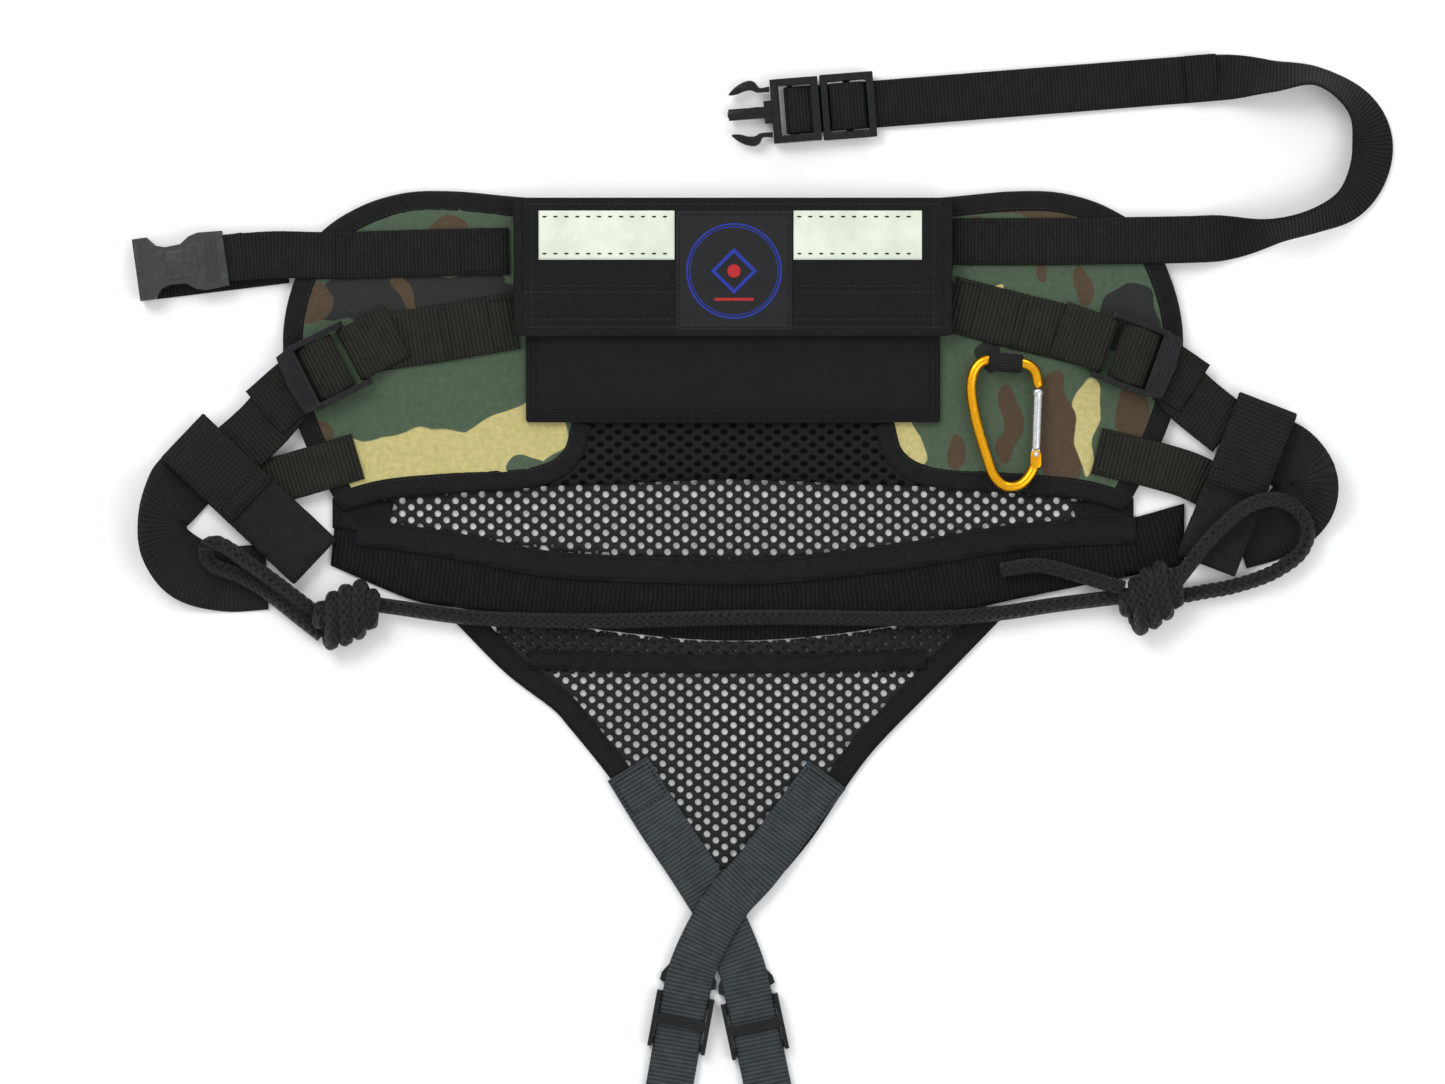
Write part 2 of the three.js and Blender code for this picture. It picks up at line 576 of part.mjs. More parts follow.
// ---- hip loops --------------------------------------------------------------------------------------
const LOOP_LOW = 4.6;
const CURL_STRAP = 35;
const HIPS = {
  left: {
    far: [-290, -21.5], near: [-222, -86],
    tab: [[-199, -30, DIAGONAL_Z], [-226, -38, DIAGONAL_Z], [-240, -42, 4.4], [-250, -45, 2.8]],
    curl: [
      [-284, -36, 0], [-294, -46, -10], [-302, -61, -44], [-301, -77, -40], [-289, -90, -12], [-270, -95, 0],
      [-248, -94, 0],
    ],
  },
  right: {
    far: [283, -5], near: [251, -88],
    tab: [[193, -27, DIAGONAL_Z], [229, -36, DIAGONAL_Z], [242, -40, 4.4], [253, -45, 2.8]],
    curl: [
      [283, -24, 0], [295, -30, 6], [305, -42, 30], [303, -54, 14], [292, -65, 0], [268, -73, 0],
    ],
  },
};

function hip(side) {
  const { far, near, tab, curl } = HIPS[side];
  const length = Math.hypot(near[0] - far[0], near[1] - far[1]);
  const frame = { at: far, angle: THREE.MathUtils.radToDeg(Math.atan2(near[1] - far[1], near[0] - far[0])) };
  const at = (x, z) => [...place(frame, x), z];
  const loop = [
    at(5, 8.4), at(40, 8.4), at(length - 14, 9.6), at(length - 3, 9.4), at(length, 7), at(length - 3, LOOP_LOW),
    at(length - 12, LOOP_LOW), at(length - 22, LOOP_LOW),
  ];
  add(`hip_loop_${side}`, webbing(loop, LOOP_STRAP, WEB, 26), BLACK_TAPE);
  const fold = [at(47, 10.3), at(8, 10.3), at(0, 9.6), at(-3, 7.8), at(-2, 6)];
  add(`hip_fold_${side}`, webbing(fold, LOOP_STRAP, WEB, 16), BLACK);
  add(`side_tab_${side}`, webbing(tab, STRAP, WEB, 20), BLACK);
  const curled = curl.map(([x, y, tilt]) => lying(x, y, tilt, CURL_STRAP));
  add(`seat_curl_${side}`, webbing(curled, CURL_STRAP, WEB, 30), BLACK);
}

// ---- tow rope ---------------------------------------------------------------------------------------
const KNOT_LEFT = [-205, -114, 10.8];
const KNOT_RIGHT = [222, -105, 10.8];
const ROPE_RUNS = {
  tow_rope: [
    [-177, -110.5, 6.6], [-141, -115.5, 6.4], [-75, -117.5, 6.4], [14, -115.5, 6.4], [107, -116, 6.4],
    [140, -113.5, 6.4], [170, -109, 6.4], [194, -106, 7],
  ],
  rope_loop_left: [
        [-228.5, -117, 5.6], [-249, -101, 6.8], [-262, -93.5, 7.6], [-276.3, -87.7, 8.6],
    [-279.7, -82.9, 10.1], [-279, -78, 13.7], [-274.5, -75.9, 17.3], [-268.9, -77.9, 18.8],
    [-258.5, -85.5, 16], [-246, -94.5, 12], [-231, -106, 8],
  ],
  rope_loop_right: [
    [240, -90, 14.6], [251, -76, 15.2], [264, -63, 15.4], [276, -55, 15.8], [288, -53, 14.6], [299, -58, 10.6],
    [305, -68, 9.6], [302, -80, 7.6], [288, -91, 6.4], [266, -99, 4.6], [250, -102, 5.2],
  ],
  rope_tail: [[195, -96.5, 9.6], [180, -92, 6.8], [162, -88, 6.4], [142, -90.5, 6.4]],
};

function towRope() {
  for (const [name, run] of Object.entries(ROPE_RUNS)) {
    add(name, rod(run, ROPE_D, run.length * 3), ROPE_LOOK);
  }
  for (const [name, at, turn] of [["rope_knot_left", KNOT_LEFT, 25], ["rope_knot_right", KNOT_RIGHT, 35]]) {
    const knot = add(name, new THREE.SphereGeometry(1, 18, 12), ROPE_LOOK);
    knot.scale.set(23, 16.5, 10.5);
    knot.rotation.z = THREE.MathUtils.degToRad(turn);
    knot.position.set(...at);
  }
}

// ---- carabiner --------------------------------------------------------------------------------------
const CARABINER_Z = 11.4;
const TOP_BAR = [[133.5, 20.8], [144.5, 19.8], [155.5, 18.8]]; // the straight stretch that hangs in the loop
const CARABINER_LOOP = 18; // width of the webbing loop
const GATE_PIN = [160.6, -29];
const NOSE = [161.8, 8.6];

function carabiner() {
  const [px, py] = GATE_PIN;
  const z = CARABINER_Z;
  const route = [
    [px, py - 4], [158.2, -39], [152.5, -45], [145, -46], [138.8, -41], [134.5, -30], [127.6, -5], [126.4, 9],
    [128.8, 17], ...TOP_BAR, [160, 15.5], NOSE,
  ];
  const body = rod(route.map(([x, y]) => [x, y, z]), CARABINER_ROD, 44, 8);
  const cheek = (low, high) => box(px - 2.6, px + 2.6, py - 7, py + 2, low, high);
  const hole = cylinder([px, py, z - 5], [px, py, z + 5], 2.6);
  add("carabiner_body", carve(body, {
    join: [
      cheek(z - 2.7, z - 1.6),
      cheek(z + 1.6, z + 2.7),
      box(px - 2.6, px + 2.6, py - 7, py - 4, z - 2.7, z + 2.7),
    ],
    cut: [hole],
  }), GOLD);
  const gate = cylinder([px + 0.1, py + 3.6, z], [NOSE[0], NOSE[1] - 3.2, z], 5.2, 12);
  const tongue = box(px - 2.2, px + 2.2, py - 2.6, py + 5, z - 1.3, z + 1.3);
  add("carabiner_gate", carve(gate, { join: [tongue], cut: [hole] }), STEEL);
  add("gate_pin", cylinder([px, py, z - 2.9], [px, py, z + 2.9], 2), STEEL);

  const frame = { at: TOP_BAR[1], angle: -95 };
  const radius = CARABINER_ROD / 2 + GAP + WEB / 2 + 0.6;
  const turn = [-90, -45, 0, 45, 90].map((degrees) => {
    const a = THREE.MathUtils.degToRad(degrees);
    return [...place(frame, Math.cos(a) * radius), z + Math.sin(a) * radius];
  });
  const loop = [[...place(frame, -4.5), z - radius], ...turn, [...place(frame, -4.5), z + radius - 1.6]];
  add("carabiner_loop", webbing(loop, CARABINER_LOOP, WEB, 24), BLACK_TAPE);
}

waistPanel();
pocket();
seat();
triangle();
legs();
waistLeft();
waistRight();
frontClosure();
["left", "right"].forEach(adjuster);
["left", "right"].forEach(hip);
towRope();
carabiner();

export default belt;
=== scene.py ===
"""Looks of a canicross hip belt that lies flat on a pale floor with its outer face up.

Lengths are in millimetres until a mesh is made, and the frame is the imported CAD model's.
"""

import json
import math

import bmesh
import bpy
import numpy as np
from mathutils import Matrix, Vector, noise
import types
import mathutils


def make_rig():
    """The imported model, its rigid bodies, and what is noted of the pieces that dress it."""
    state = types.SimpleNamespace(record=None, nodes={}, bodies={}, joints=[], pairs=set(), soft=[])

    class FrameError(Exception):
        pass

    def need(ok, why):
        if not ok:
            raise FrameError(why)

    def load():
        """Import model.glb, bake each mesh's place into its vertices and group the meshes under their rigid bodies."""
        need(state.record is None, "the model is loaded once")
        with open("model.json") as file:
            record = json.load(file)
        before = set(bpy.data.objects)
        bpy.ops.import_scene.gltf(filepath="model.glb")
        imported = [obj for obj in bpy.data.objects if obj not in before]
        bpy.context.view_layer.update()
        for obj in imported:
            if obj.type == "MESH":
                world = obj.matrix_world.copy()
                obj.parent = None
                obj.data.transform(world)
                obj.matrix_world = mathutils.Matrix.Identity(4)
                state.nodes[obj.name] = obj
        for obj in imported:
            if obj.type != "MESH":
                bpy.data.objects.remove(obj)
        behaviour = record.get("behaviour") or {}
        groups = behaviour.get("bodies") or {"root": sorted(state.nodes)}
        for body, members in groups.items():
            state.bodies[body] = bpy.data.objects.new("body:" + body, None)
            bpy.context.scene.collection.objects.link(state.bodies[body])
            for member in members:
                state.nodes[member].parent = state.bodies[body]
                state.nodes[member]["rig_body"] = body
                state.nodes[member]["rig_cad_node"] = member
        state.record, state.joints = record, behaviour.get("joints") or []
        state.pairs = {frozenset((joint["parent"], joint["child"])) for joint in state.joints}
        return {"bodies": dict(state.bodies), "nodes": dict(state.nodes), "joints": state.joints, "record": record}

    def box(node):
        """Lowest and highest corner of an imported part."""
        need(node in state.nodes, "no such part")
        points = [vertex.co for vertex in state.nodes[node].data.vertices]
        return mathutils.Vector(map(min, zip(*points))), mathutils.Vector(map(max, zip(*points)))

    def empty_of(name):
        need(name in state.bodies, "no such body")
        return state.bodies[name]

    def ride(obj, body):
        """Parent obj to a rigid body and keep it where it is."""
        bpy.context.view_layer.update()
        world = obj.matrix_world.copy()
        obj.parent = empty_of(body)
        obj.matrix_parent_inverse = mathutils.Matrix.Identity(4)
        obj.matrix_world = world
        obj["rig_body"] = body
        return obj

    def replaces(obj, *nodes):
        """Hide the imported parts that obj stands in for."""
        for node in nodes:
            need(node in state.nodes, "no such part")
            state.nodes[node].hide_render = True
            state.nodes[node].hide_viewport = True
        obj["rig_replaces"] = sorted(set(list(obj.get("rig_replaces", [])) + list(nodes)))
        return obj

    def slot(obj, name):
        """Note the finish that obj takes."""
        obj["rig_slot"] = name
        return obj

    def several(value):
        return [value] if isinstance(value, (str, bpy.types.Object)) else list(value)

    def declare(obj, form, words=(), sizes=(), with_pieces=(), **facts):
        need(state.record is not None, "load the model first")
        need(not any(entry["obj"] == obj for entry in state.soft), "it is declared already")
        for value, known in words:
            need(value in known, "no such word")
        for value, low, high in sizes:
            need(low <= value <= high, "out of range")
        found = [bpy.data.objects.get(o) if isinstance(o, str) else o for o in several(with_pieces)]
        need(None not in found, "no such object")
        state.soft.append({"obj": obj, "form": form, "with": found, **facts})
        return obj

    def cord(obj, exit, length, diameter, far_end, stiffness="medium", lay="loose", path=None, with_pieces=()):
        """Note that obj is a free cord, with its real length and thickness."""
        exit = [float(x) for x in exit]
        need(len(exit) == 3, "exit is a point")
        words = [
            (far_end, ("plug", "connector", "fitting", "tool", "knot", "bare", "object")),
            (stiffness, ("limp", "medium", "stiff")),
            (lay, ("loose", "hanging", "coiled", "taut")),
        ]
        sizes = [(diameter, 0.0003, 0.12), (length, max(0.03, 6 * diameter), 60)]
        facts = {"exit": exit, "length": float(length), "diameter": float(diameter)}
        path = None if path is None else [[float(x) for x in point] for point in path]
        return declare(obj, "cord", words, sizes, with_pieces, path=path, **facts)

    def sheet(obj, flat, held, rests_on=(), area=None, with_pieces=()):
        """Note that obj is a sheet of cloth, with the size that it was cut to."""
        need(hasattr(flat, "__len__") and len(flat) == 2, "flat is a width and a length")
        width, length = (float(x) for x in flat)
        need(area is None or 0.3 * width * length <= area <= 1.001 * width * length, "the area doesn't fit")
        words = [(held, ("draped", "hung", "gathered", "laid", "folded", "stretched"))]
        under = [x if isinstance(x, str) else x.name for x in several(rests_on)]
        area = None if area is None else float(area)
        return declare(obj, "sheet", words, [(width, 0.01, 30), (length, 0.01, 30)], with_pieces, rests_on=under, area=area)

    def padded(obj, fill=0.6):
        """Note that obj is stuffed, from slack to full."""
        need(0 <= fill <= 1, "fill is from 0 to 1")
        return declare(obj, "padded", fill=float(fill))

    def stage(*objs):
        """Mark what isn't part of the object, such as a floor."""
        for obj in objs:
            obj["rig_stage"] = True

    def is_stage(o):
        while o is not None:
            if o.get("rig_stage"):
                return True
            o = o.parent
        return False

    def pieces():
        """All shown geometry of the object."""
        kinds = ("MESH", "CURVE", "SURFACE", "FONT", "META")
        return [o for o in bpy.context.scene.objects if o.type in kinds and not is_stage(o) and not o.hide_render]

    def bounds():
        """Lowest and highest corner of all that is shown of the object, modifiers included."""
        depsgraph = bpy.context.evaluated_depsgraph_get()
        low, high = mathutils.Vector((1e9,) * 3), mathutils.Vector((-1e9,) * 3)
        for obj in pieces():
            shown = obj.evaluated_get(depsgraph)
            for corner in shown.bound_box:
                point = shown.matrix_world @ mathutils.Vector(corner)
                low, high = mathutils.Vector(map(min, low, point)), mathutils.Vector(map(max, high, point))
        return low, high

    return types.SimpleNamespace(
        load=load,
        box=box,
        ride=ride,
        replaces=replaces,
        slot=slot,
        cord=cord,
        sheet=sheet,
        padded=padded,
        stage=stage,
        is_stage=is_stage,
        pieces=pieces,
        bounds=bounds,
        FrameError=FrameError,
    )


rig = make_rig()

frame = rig.load()
cad_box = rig.bounds()

MM = 0.001

# ---- driving dimensions, as in the CAD model ------------------------------------------------------
GAP = 0.3
CLOTH = 0.8
TAPE = 1.1
WEB = 1.4
PAD_TOP = 5
CLOTH_TOP = PAD_TOP + GAP + TAPE
ON_WING = CLOTH_TOP + GAP

BINDING = 11
STRAP = 25
ADJUSTER_STRAP = 30
LOOP_STRAP = 33
CURL_STRAP = 35

POCKET_W = 219
POCKET_BOTTOM = -12
POCKET_TOP = 104
POCKET_MOUTH = 84
POCKET_Z = ON_WING
POCKET_DEEP = 7.6
FLAP_W = 230
FLAP_BOTTOM = 34
FLAP_Z = POCKET_Z + POCKET_DEEP + 2.2
FLAP_HINGE_Y = 106

STEEP = 0.6
ROPE_D = 8
CARABINER_ROD = 5.6

VIEW_MIDDLE = (-5.6, -75.5)
VIEW_WIDTH = 768.7
CAMERA_UP = 4000


# ---- curves ---------------------------------------------------------------------------------------
def spline(points, step):
    """Points about a step apart on a centripetal Catmull-Rom curve, with any further columns carried."""
    points = np.array(points, float)
    ends = [2 * points[0] - points[1], *points, 2 * points[-1] - points[-2]]
    dense = []
    for i in range(len(points) - 1):
        dense.extend(_span(*ends[i:i + 4], 24))
    dense.append(points[-1])
    return even(np.array(dense), step)


def _span(a, b, c, d, count):
    knots = [0.0]
    for p, q in ((a, b), (b, c), (c, d)):
        knots.append(knots[-1] + max(np.linalg.norm(q[:3] - p[:3]) ** 0.5, 1e-4))
    t0, t1, t2, t3 = knots
    for t in np.linspace(t1, t2, count, endpoint=False):
        a1 = (a * (t1 - t) + b * (t - t0)) / (t1 - t0)
        a2 = (b * (t2 - t) + c * (t - t1)) / (t2 - t1)
        a3 = (c * (t3 - t) + d * (t - t2)) / (t3 - t2)
        b1 = (a1 * (t2 - t) + a2 * (t - t0)) / (t2 - t0)
        b2 = (a2 * (t3 - t) + a3 * (t - t1)) / (t3 - t1)
        yield (b1 * (t2 - t) + b2 * (t - t1)) / (t2 - t1)


def lengths(line):
    """How far along the line each of its points is."""
    steps = np.linalg.norm(np.diff(np.array(line, float)[:, :3], axis=0), axis=1)
    return np.concatenate([[0], np.cumsum(steps)])


def even(line, step):
    """The same line with its points evenly spaced, about a step apart."""
    line = np.array(line, float)
    along = lengths(line)
    count = max(2, round(along[-1] / step) + 1)
    want = np.linspace(0, along[-1], count)
    return np.stack([np.interp(want, along, column) for column in line.T], axis=1)


def beside(line, distance):
    """A plane line moved to its left, without the points that a corner folds back onto it."""
    line = np.array(line, float)[:, :2]
    run = np.gradient(line, axis=0)
    run /= np.linalg.norm(run, axis=1)[:, None]
    moved = line + np.stack([-run[:, 1], run[:, 0]], axis=1) * distance
    clear = [np.linalg.norm(line - p, axis=1).min() > abs(distance) * 0.97 for p in moved]
    return moved[np.array(clear)]


def mirrored(line):
    """The line on the other side of the belt, run the other way."""
    return [(-p[0], *p[1:]) for p in line][::-1]


def inside(outline, x, y):
    """Whether a point is inside a closed plane outline."""
    outline = np.asarray(outline)
    x0, y0 = outline[:, 0], outline[:, 1]
    x1, y1 = np.roll(x0, -1), np.roll(y0, -1)
    spans = (y0 > y) != (y1 > y)
    rise = np.where(y1 == y0, 1, y1 - y0)
    return bool(np.sum(spans & (x < x0 + (y - y0) * (x1 - x0) / rise)) % 2)


# ---- pieces ---------------------------------------------------------------------------------------
def piece(name, points, faces, material, body="belt", uvs=None):
    """A mesh piece from points in millimetres, riding on a body."""
    mesh = bpy.data.meshes.new(name)
    mesh.from_pydata((np.array(points, float) * MM).tolist(), [], faces)
    if uvs is not None:
        layer = mesh.uv_layers.new(name="weave")
        corner = np.zeros(len(mesh.loops), int)
        mesh.loops.foreach_get("vertex_index", corner)
        layer.data.foreach_set("uv", (np.array(uvs, float)[corner] * MM).ravel())
    mesh.validate()
    mesh.polygons.foreach_set("use_smooth", [True] * len(mesh.polygons))
    obj = bpy.data.objects.new(name, mesh)
    bpy.context.scene.collection.objects.link(obj)
    obj.data.materials.append(material)
    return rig.ride(obj, body)


def loft(rings):
    """Faces that join matching rings of points, as one closed skin."""
    count = len(rings[0])
    points = [p for ring in rings for p in ring]
    faces = []
    for i in range(len(rings) - 1):
        for j in range(count):
            a, b = i * count + j, i * count + (j + 1) % count
            faces.append((a, b, b + count, a + count))
    last = (len(rings) - 1) * count
    faces.append(tuple(range(count))[::-1])
    faces.append(tuple(range(last, last + count)))
    return points, faces


def outward(obj):
    """Turns a closed piece's faces outwards."""
    work = bmesh.new()
    work.from_mesh(obj.data)
    bmesh.ops.recalc_face_normals(work, faces=work.faces)
    work.to_mesh(obj.data)
    work.free()
    return obj


def sharpen(obj, degrees=35):
    """Shades a smooth piece's edges sharp where its faces meet more steeply than this."""
    work = bmesh.new()
    work.from_mesh(obj.data)
    for edge in work.edges:
        edge.smooth = edge.calc_face_angle(math.pi) < math.radians(degrees)
    work.to_mesh(obj.data)
    work.free()
    return obj


def across(width, thickness, columns=9):
    """A webbing's section: (sideways, up) points round a flat strip with rounded edges."""
    radius = thickness / 2
    row = np.linspace(-width / 2 + radius, width / 2 - radius, columns)
    top = [(x, radius) for x in row]
    right = (width / 2, 0.0)
    bottom = [(x, -radius) for x in row[::-1]]
    return [*top, right, *bottom, (-right[0], 0.0)]


def webbing(name, stations, width, material, body="belt", step=2.0, thickness=WEB):
    """Webbing along [x, y, z, tilt] stations.

    Its width stays level, and is carried on unturned where the run is steep, so it can fold over a bar."""
    stations = [[*s, 0][:4] for s in stations]
    path = spline(stations, step)
    runs = np.gradient(path[:, :3], axis=0)
    section = across(width, thickness)
    start = runs[0]
    carried = Vector((-start[1], start[0], 0)).normalized()
    along = lengths(path)
    rings, uvs = [], []
    for i, (point, run) in enumerate(zip(path, runs)):
        run = Vector(run).normalized()
        if abs(run.z) < STEEP:
            level = Vector((-run.y, run.x, 0)).normalized()
            carried = level if level.dot(carried) >= 0 else -level
        else:
            carried = (carried - run * carried.dot(run)).normalized()
        side = carried.copy()
        side.rotate(Matrix.Rotation(math.radians(point[3]), 3, run))
        up = run.cross(side)
        rings.append([Vector(point[:3]) + side * x + up * z for x, z in section])
        uvs.extend((along[i], x) for x, _ in section)
    points, faces = loft(rings)
    return outward(piece(name, points, faces, material, body, uvs))


def tube(name, path, diameter, material, body="belt", sides=20, relief=None):
    """A round bar or rope along a line. relief(along, angle) gives extra radius."""
    path = np.array(path, float)
    runs = np.gradient(path, axis=0)
    along = lengths(path)
    normal = Vector((0, 0, 1))
    if abs(Vector(runs[0]).normalized().z) > 0.9:
        normal = Vector((1, 0, 0))
    rings, uvs = [], []
    for i, (point, run) in enumerate(zip(path, runs)):
        run = Vector(run).normalized()
        normal = (normal - run * normal.dot(run)).normalized()
        other = run.cross(normal)
        ring = []
        for j in range(sides):
            angle = 2 * math.pi * j / sides
            radius = diameter / 2 + (relief(along[i], angle) if relief else 0)
            ring.append(Vector(point) + normal * math.cos(angle) * radius + other * math.sin(angle) * radius)
            uvs.append((along[i], angle * diameter / 2))
        rings.append(ring)
    points, faces = loft(rings)
    return outward(piece(name, points, faces, material, body, uvs))


def cut_sheet(outline, cell):
    """A flat mesh of an outline, cut into a grid of cells, as a bmesh in millimetres."""
    outline = np.array(outline, float)[:, :2]
    work = bmesh.new()
    work.faces.new([work.verts.new((x, y, 0)) for x, y in outline])
    for axis in (0, 1):
        low, high = outline[:, axis].min(), outline[:, axis].max()
        normal = Vector((1, 0, 0)) if axis == 0 else Vector((0, 1, 0))
        for place in np.arange(low + cell * 0.5, high, cell):
            geometry = work.verts[:] + work.edges[:] + work.faces[:]
            bmesh.ops.bisect_plane(work, geom=geometry, dist=1e-4, plane_co=normal * place, plane_no=normal)
    bmesh.ops.triangulate(work, faces=[f for f in work.faces if len(f.verts) > 4])
    return work


def cloth(name, outline, top, thickness, material, body="belt", cell=4.0, low=None):
    """A cloth or pad of an outline, whose upper face is at top(x, y) and whose underside is flat, at low, or
    follows the upper face a thickness below it."""
    work = cut_sheet(outline, cell)
    faces = [[v.index for v in f.verts] for f in _indexed(work).faces]
    flat = [(v.co.x, v.co.y) for v in work.verts]
    rim = [tuple(v.index for v in e.verts) for e in work.edges if e.is_boundary]
    work.free()
    upper = [(x, y, top(x, y)) for x, y in flat]
    lower = [(x, y, (z - thickness) if low is None else low) for x, y, z in upper]
    count = len(flat)
    skin = list(faces) + [[i + count for i in f][::-1] for f in faces]
    skin += [(a, b, b + count, a + count) for a, b in rim]
    return outward(piece(name, upper + lower, skin, material, body, flat + flat))


def _indexed(work):
    work.verts.index_update()
    work.verts.ensure_lookup_table()
    return work


def rounded_slab(name, outline, low, high, material, body="belt", round_by=0.5, degrees=30):
    """A moulded or cut slab of an outline, with its edges rounded."""
    outline = [tuple(p[:2]) for p in outline]
    points = [(x, y, z) for z in (low, high) for x, y in outline]
    count = len(outline)
    faces = [tuple(range(count))[::-1], tuple(range(count, 2 * count))]
    faces += [(i, (i + 1) % count, (i + 1) % count + count, i + count) for i in range(count)]
    obj = outward(piece(name, points, faces, material, body))
    return soften(obj, round_by, degrees)


def soften(obj, round_by, degrees=30, segments=3):
    """Rounds a piece's edges, as a moulding's are, and bakes the result into its mesh."""
    bevel = obj.modifiers.new("bevel", "BEVEL")
    bevel.width = round_by * MM
    bevel.segments = segments
    bevel.limit_method = "ANGLE"
    bevel.angle_limit = math.radians(degrees)
    bevel.harden_normals = False
    bevel.use_clamp_overlap = True
    return baked(obj)


def baked(obj):
    """Applies a piece's modifiers."""
    bpy.context.view_layer.update()
    graph = bpy.context.evaluated_depsgraph_get()
    final = bpy.data.meshes.new_from_object(obj.evaluated_get(graph))
    obj.modifiers.clear()
    obj.data = final
    return obj


def moulded(name, node, material, round_by=0.5, degrees=30):
    """A CAD node's moulding again, with its edges rounded."""
    source = frame["nodes"][node]
    obj = bpy.data.objects.new(name, source.data.copy())
    bpy.context.scene.collection.objects.link(obj)
    obj.data.materials.clear()
    obj.data.materials.append(material)
    work = bmesh.new()
    work.from_mesh(obj.data)
    bmesh.ops.remove_doubles(work, verts=work.verts, dist=2e-6)
    bmesh.ops.dissolve_limit(work, angle_limit=math.radians(1), verts=work.verts, edges=work.edges)
    work.to_mesh(obj.data)
    work.free()
    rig.ride(obj, source["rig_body"])
    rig.replaces(obj, node)
    soften(obj, round_by, degrees)
    return sharpen(obj, 50)


def stitches(name, lines, material, body="belt", pitch=2.6, stitch=1.8, thread=0.45):
    """Rows of stitches along lines of points, as one piece of short sunk threads."""
    points, faces = [], []
    sides = 5
    for line in lines:
        line = even(line, 0.4)
        along = lengths(line)
        for start in np.arange(0.4, along[-1] - stitch, pitch):
            ends = [start, start + stitch * 0.3, start + stitch * 0.7, start + stitch]
            centre = [np.array([np.interp(t, along, column) for column in line.T]) for t in ends]
            run = Vector(centre[3] - centre[0]).normalized()
            side = Vector((-run.y, run.x, 0)).normalized()
            for spot, size in zip(centre, (0.3, 1, 1, 0.3)):
                for k in range(sides):
                    angle = 2 * math.pi * k / sides
                    out = side * math.cos(angle) + Vector((0, 0, 1)) * math.sin(angle) * 0.7
                    points.append(Vector(spot) + out * thread * 0.5 * size)
            base = len(points) - 4 * sides
            for i in range(3):
                for k in range(sides):
                    a, b = base + i * sides + k, base + i * sides + (k + 1) % sides
                    faces.append((a, b, b + sides, a + sides))
            faces.append(tuple(base + k for k in range(sides))[::-1])
            faces.append(tuple(base + 3 * sides + k for k in range(sides)))
    return outward(piece(name, points, faces, material, body))


# ---- materials ------------------------------------------------------------------------------------
class Look:
    """A material's node graph, with short calls for the nodes used here."""

    def __init__(self, name, colour, roughness, metallic=0.0, specular=0.5):
        self.material = bpy.data.materials.new(name)
        self.material.use_nodes = True
        tree = self.material.node_tree
        self.nodes, self.links = tree.nodes, tree.links
        self.shader = self.nodes["Principled BSDF"]
        self.set(self.shader, {"Base Color": rgb(colour), "Roughness": roughness, "Metallic": metallic})
        self.set(self.shader, {"Specular IOR Level": specular})

    def set(self, node, inputs):
        for key, value in inputs.items():
            if isinstance(value, bpy.types.NodeSocket):
                self.links.new(value, node.inputs[key])
            else:
                node.inputs[key].default_value = value
        return node

    def node(self, kind, inputs=None, **settings):
        node = self.nodes.new("ShaderNode" + kind)
        for key, value in settings.items():
            setattr(node, key, value)
        return self.set(node, inputs or {})

    def math(self, operation, *values):
        return self.node("Math", dict(enumerate(values)), operation=operation).outputs[0]

    def place(self):
        """Where a point is on its piece, in millimetres of the belt's frame."""
        where = self.node("TexCoord").outputs["Object"]
        return self.node("VectorMath", {0: where, "Scale": 1 / MM}, operation="SCALE").outputs[0]

    def weave(self):
        """Millimetres along and across a woven strip, as separate numbers."""
        uv = self.node("UVMap", uv_map="weave").outputs[0]
        scaled = self.node("VectorMath", {0: uv, "Scale": 1 / MM}, operation="SCALE").outputs[0]
        parts = self.node("SeparateXYZ", {0: scaled})
        return parts.outputs[0], parts.outputs[1]

    def parts(self, vector):
        split = self.node("SeparateXYZ", {0: vector})
        return split.outputs[0], split.outputs[1]

    def wave(self, value, pitch):
        """A cosine from 0 to 1 with this pitch."""
        turned = self.math("COSINE", self.math("MULTIPLY", value, 2 * math.pi / pitch))
        return self.math("MULTIPLY_ADD", turned, 0.5, 0.5)

    def noise(self, vector, size, detail=2.0):
        """Noise from 0 to 1 whose features are about this size in millimetres."""
        inputs = {"Vector": vector, "Scale": 1 / size, "Detail": detail}
        return self.node("TexNoise", inputs).outputs[0]

    def mix(self, share, first, second):
        """A colour between two colours."""
        inputs = {0: share, 6: colour_of(first), 7: colour_of(second)}
        return self.node("Mix", inputs, data_type="RGBA").outputs[2]

    def span(self, value, low, high, first=0.0, second=1.0):
        """The value taken from low..high to first..second, and held there."""
        inputs = {0: value, 1: low, 2: high, 3: first, 4: second}
        return self.node("MapRange", inputs).outputs[0]

    def bump(self, height, depth, strength=1.0):
        """Relief of this depth in millimetres."""
        inputs = {"Height": height, "Distance": depth * MM, "Strength": strength}
        self.set(self.shader, {"Normal": self.node("Bump", inputs).outputs[0]})

    def paint(self, colour=None, roughness=None):
        if colour is not None:
            self.set(self.shader, {"Base Color": colour})
        if roughness is not None:
            self.set(self.shader, {"Roughness": roughness})
        return self.material


def rgb(colour):
    """A Blender colour from an (r, g, b) of 0 to 255 as a screen shows it."""
    linear = [c / 12.92 if c <= 0.04045 else ((c + 0.055) / 1.055) ** 2.4 for c in (v / 255 for v in colour)]
    return (*linear, 1.0)


def shade(colour, by):
    """The same colour, darker or paler, each part held to 255."""
    return tuple(min(c * by, 255) for c in colour)


def colour_of(value):
    return value if isinstance(value, bpy.types.NodeSocket) else rgb(value)


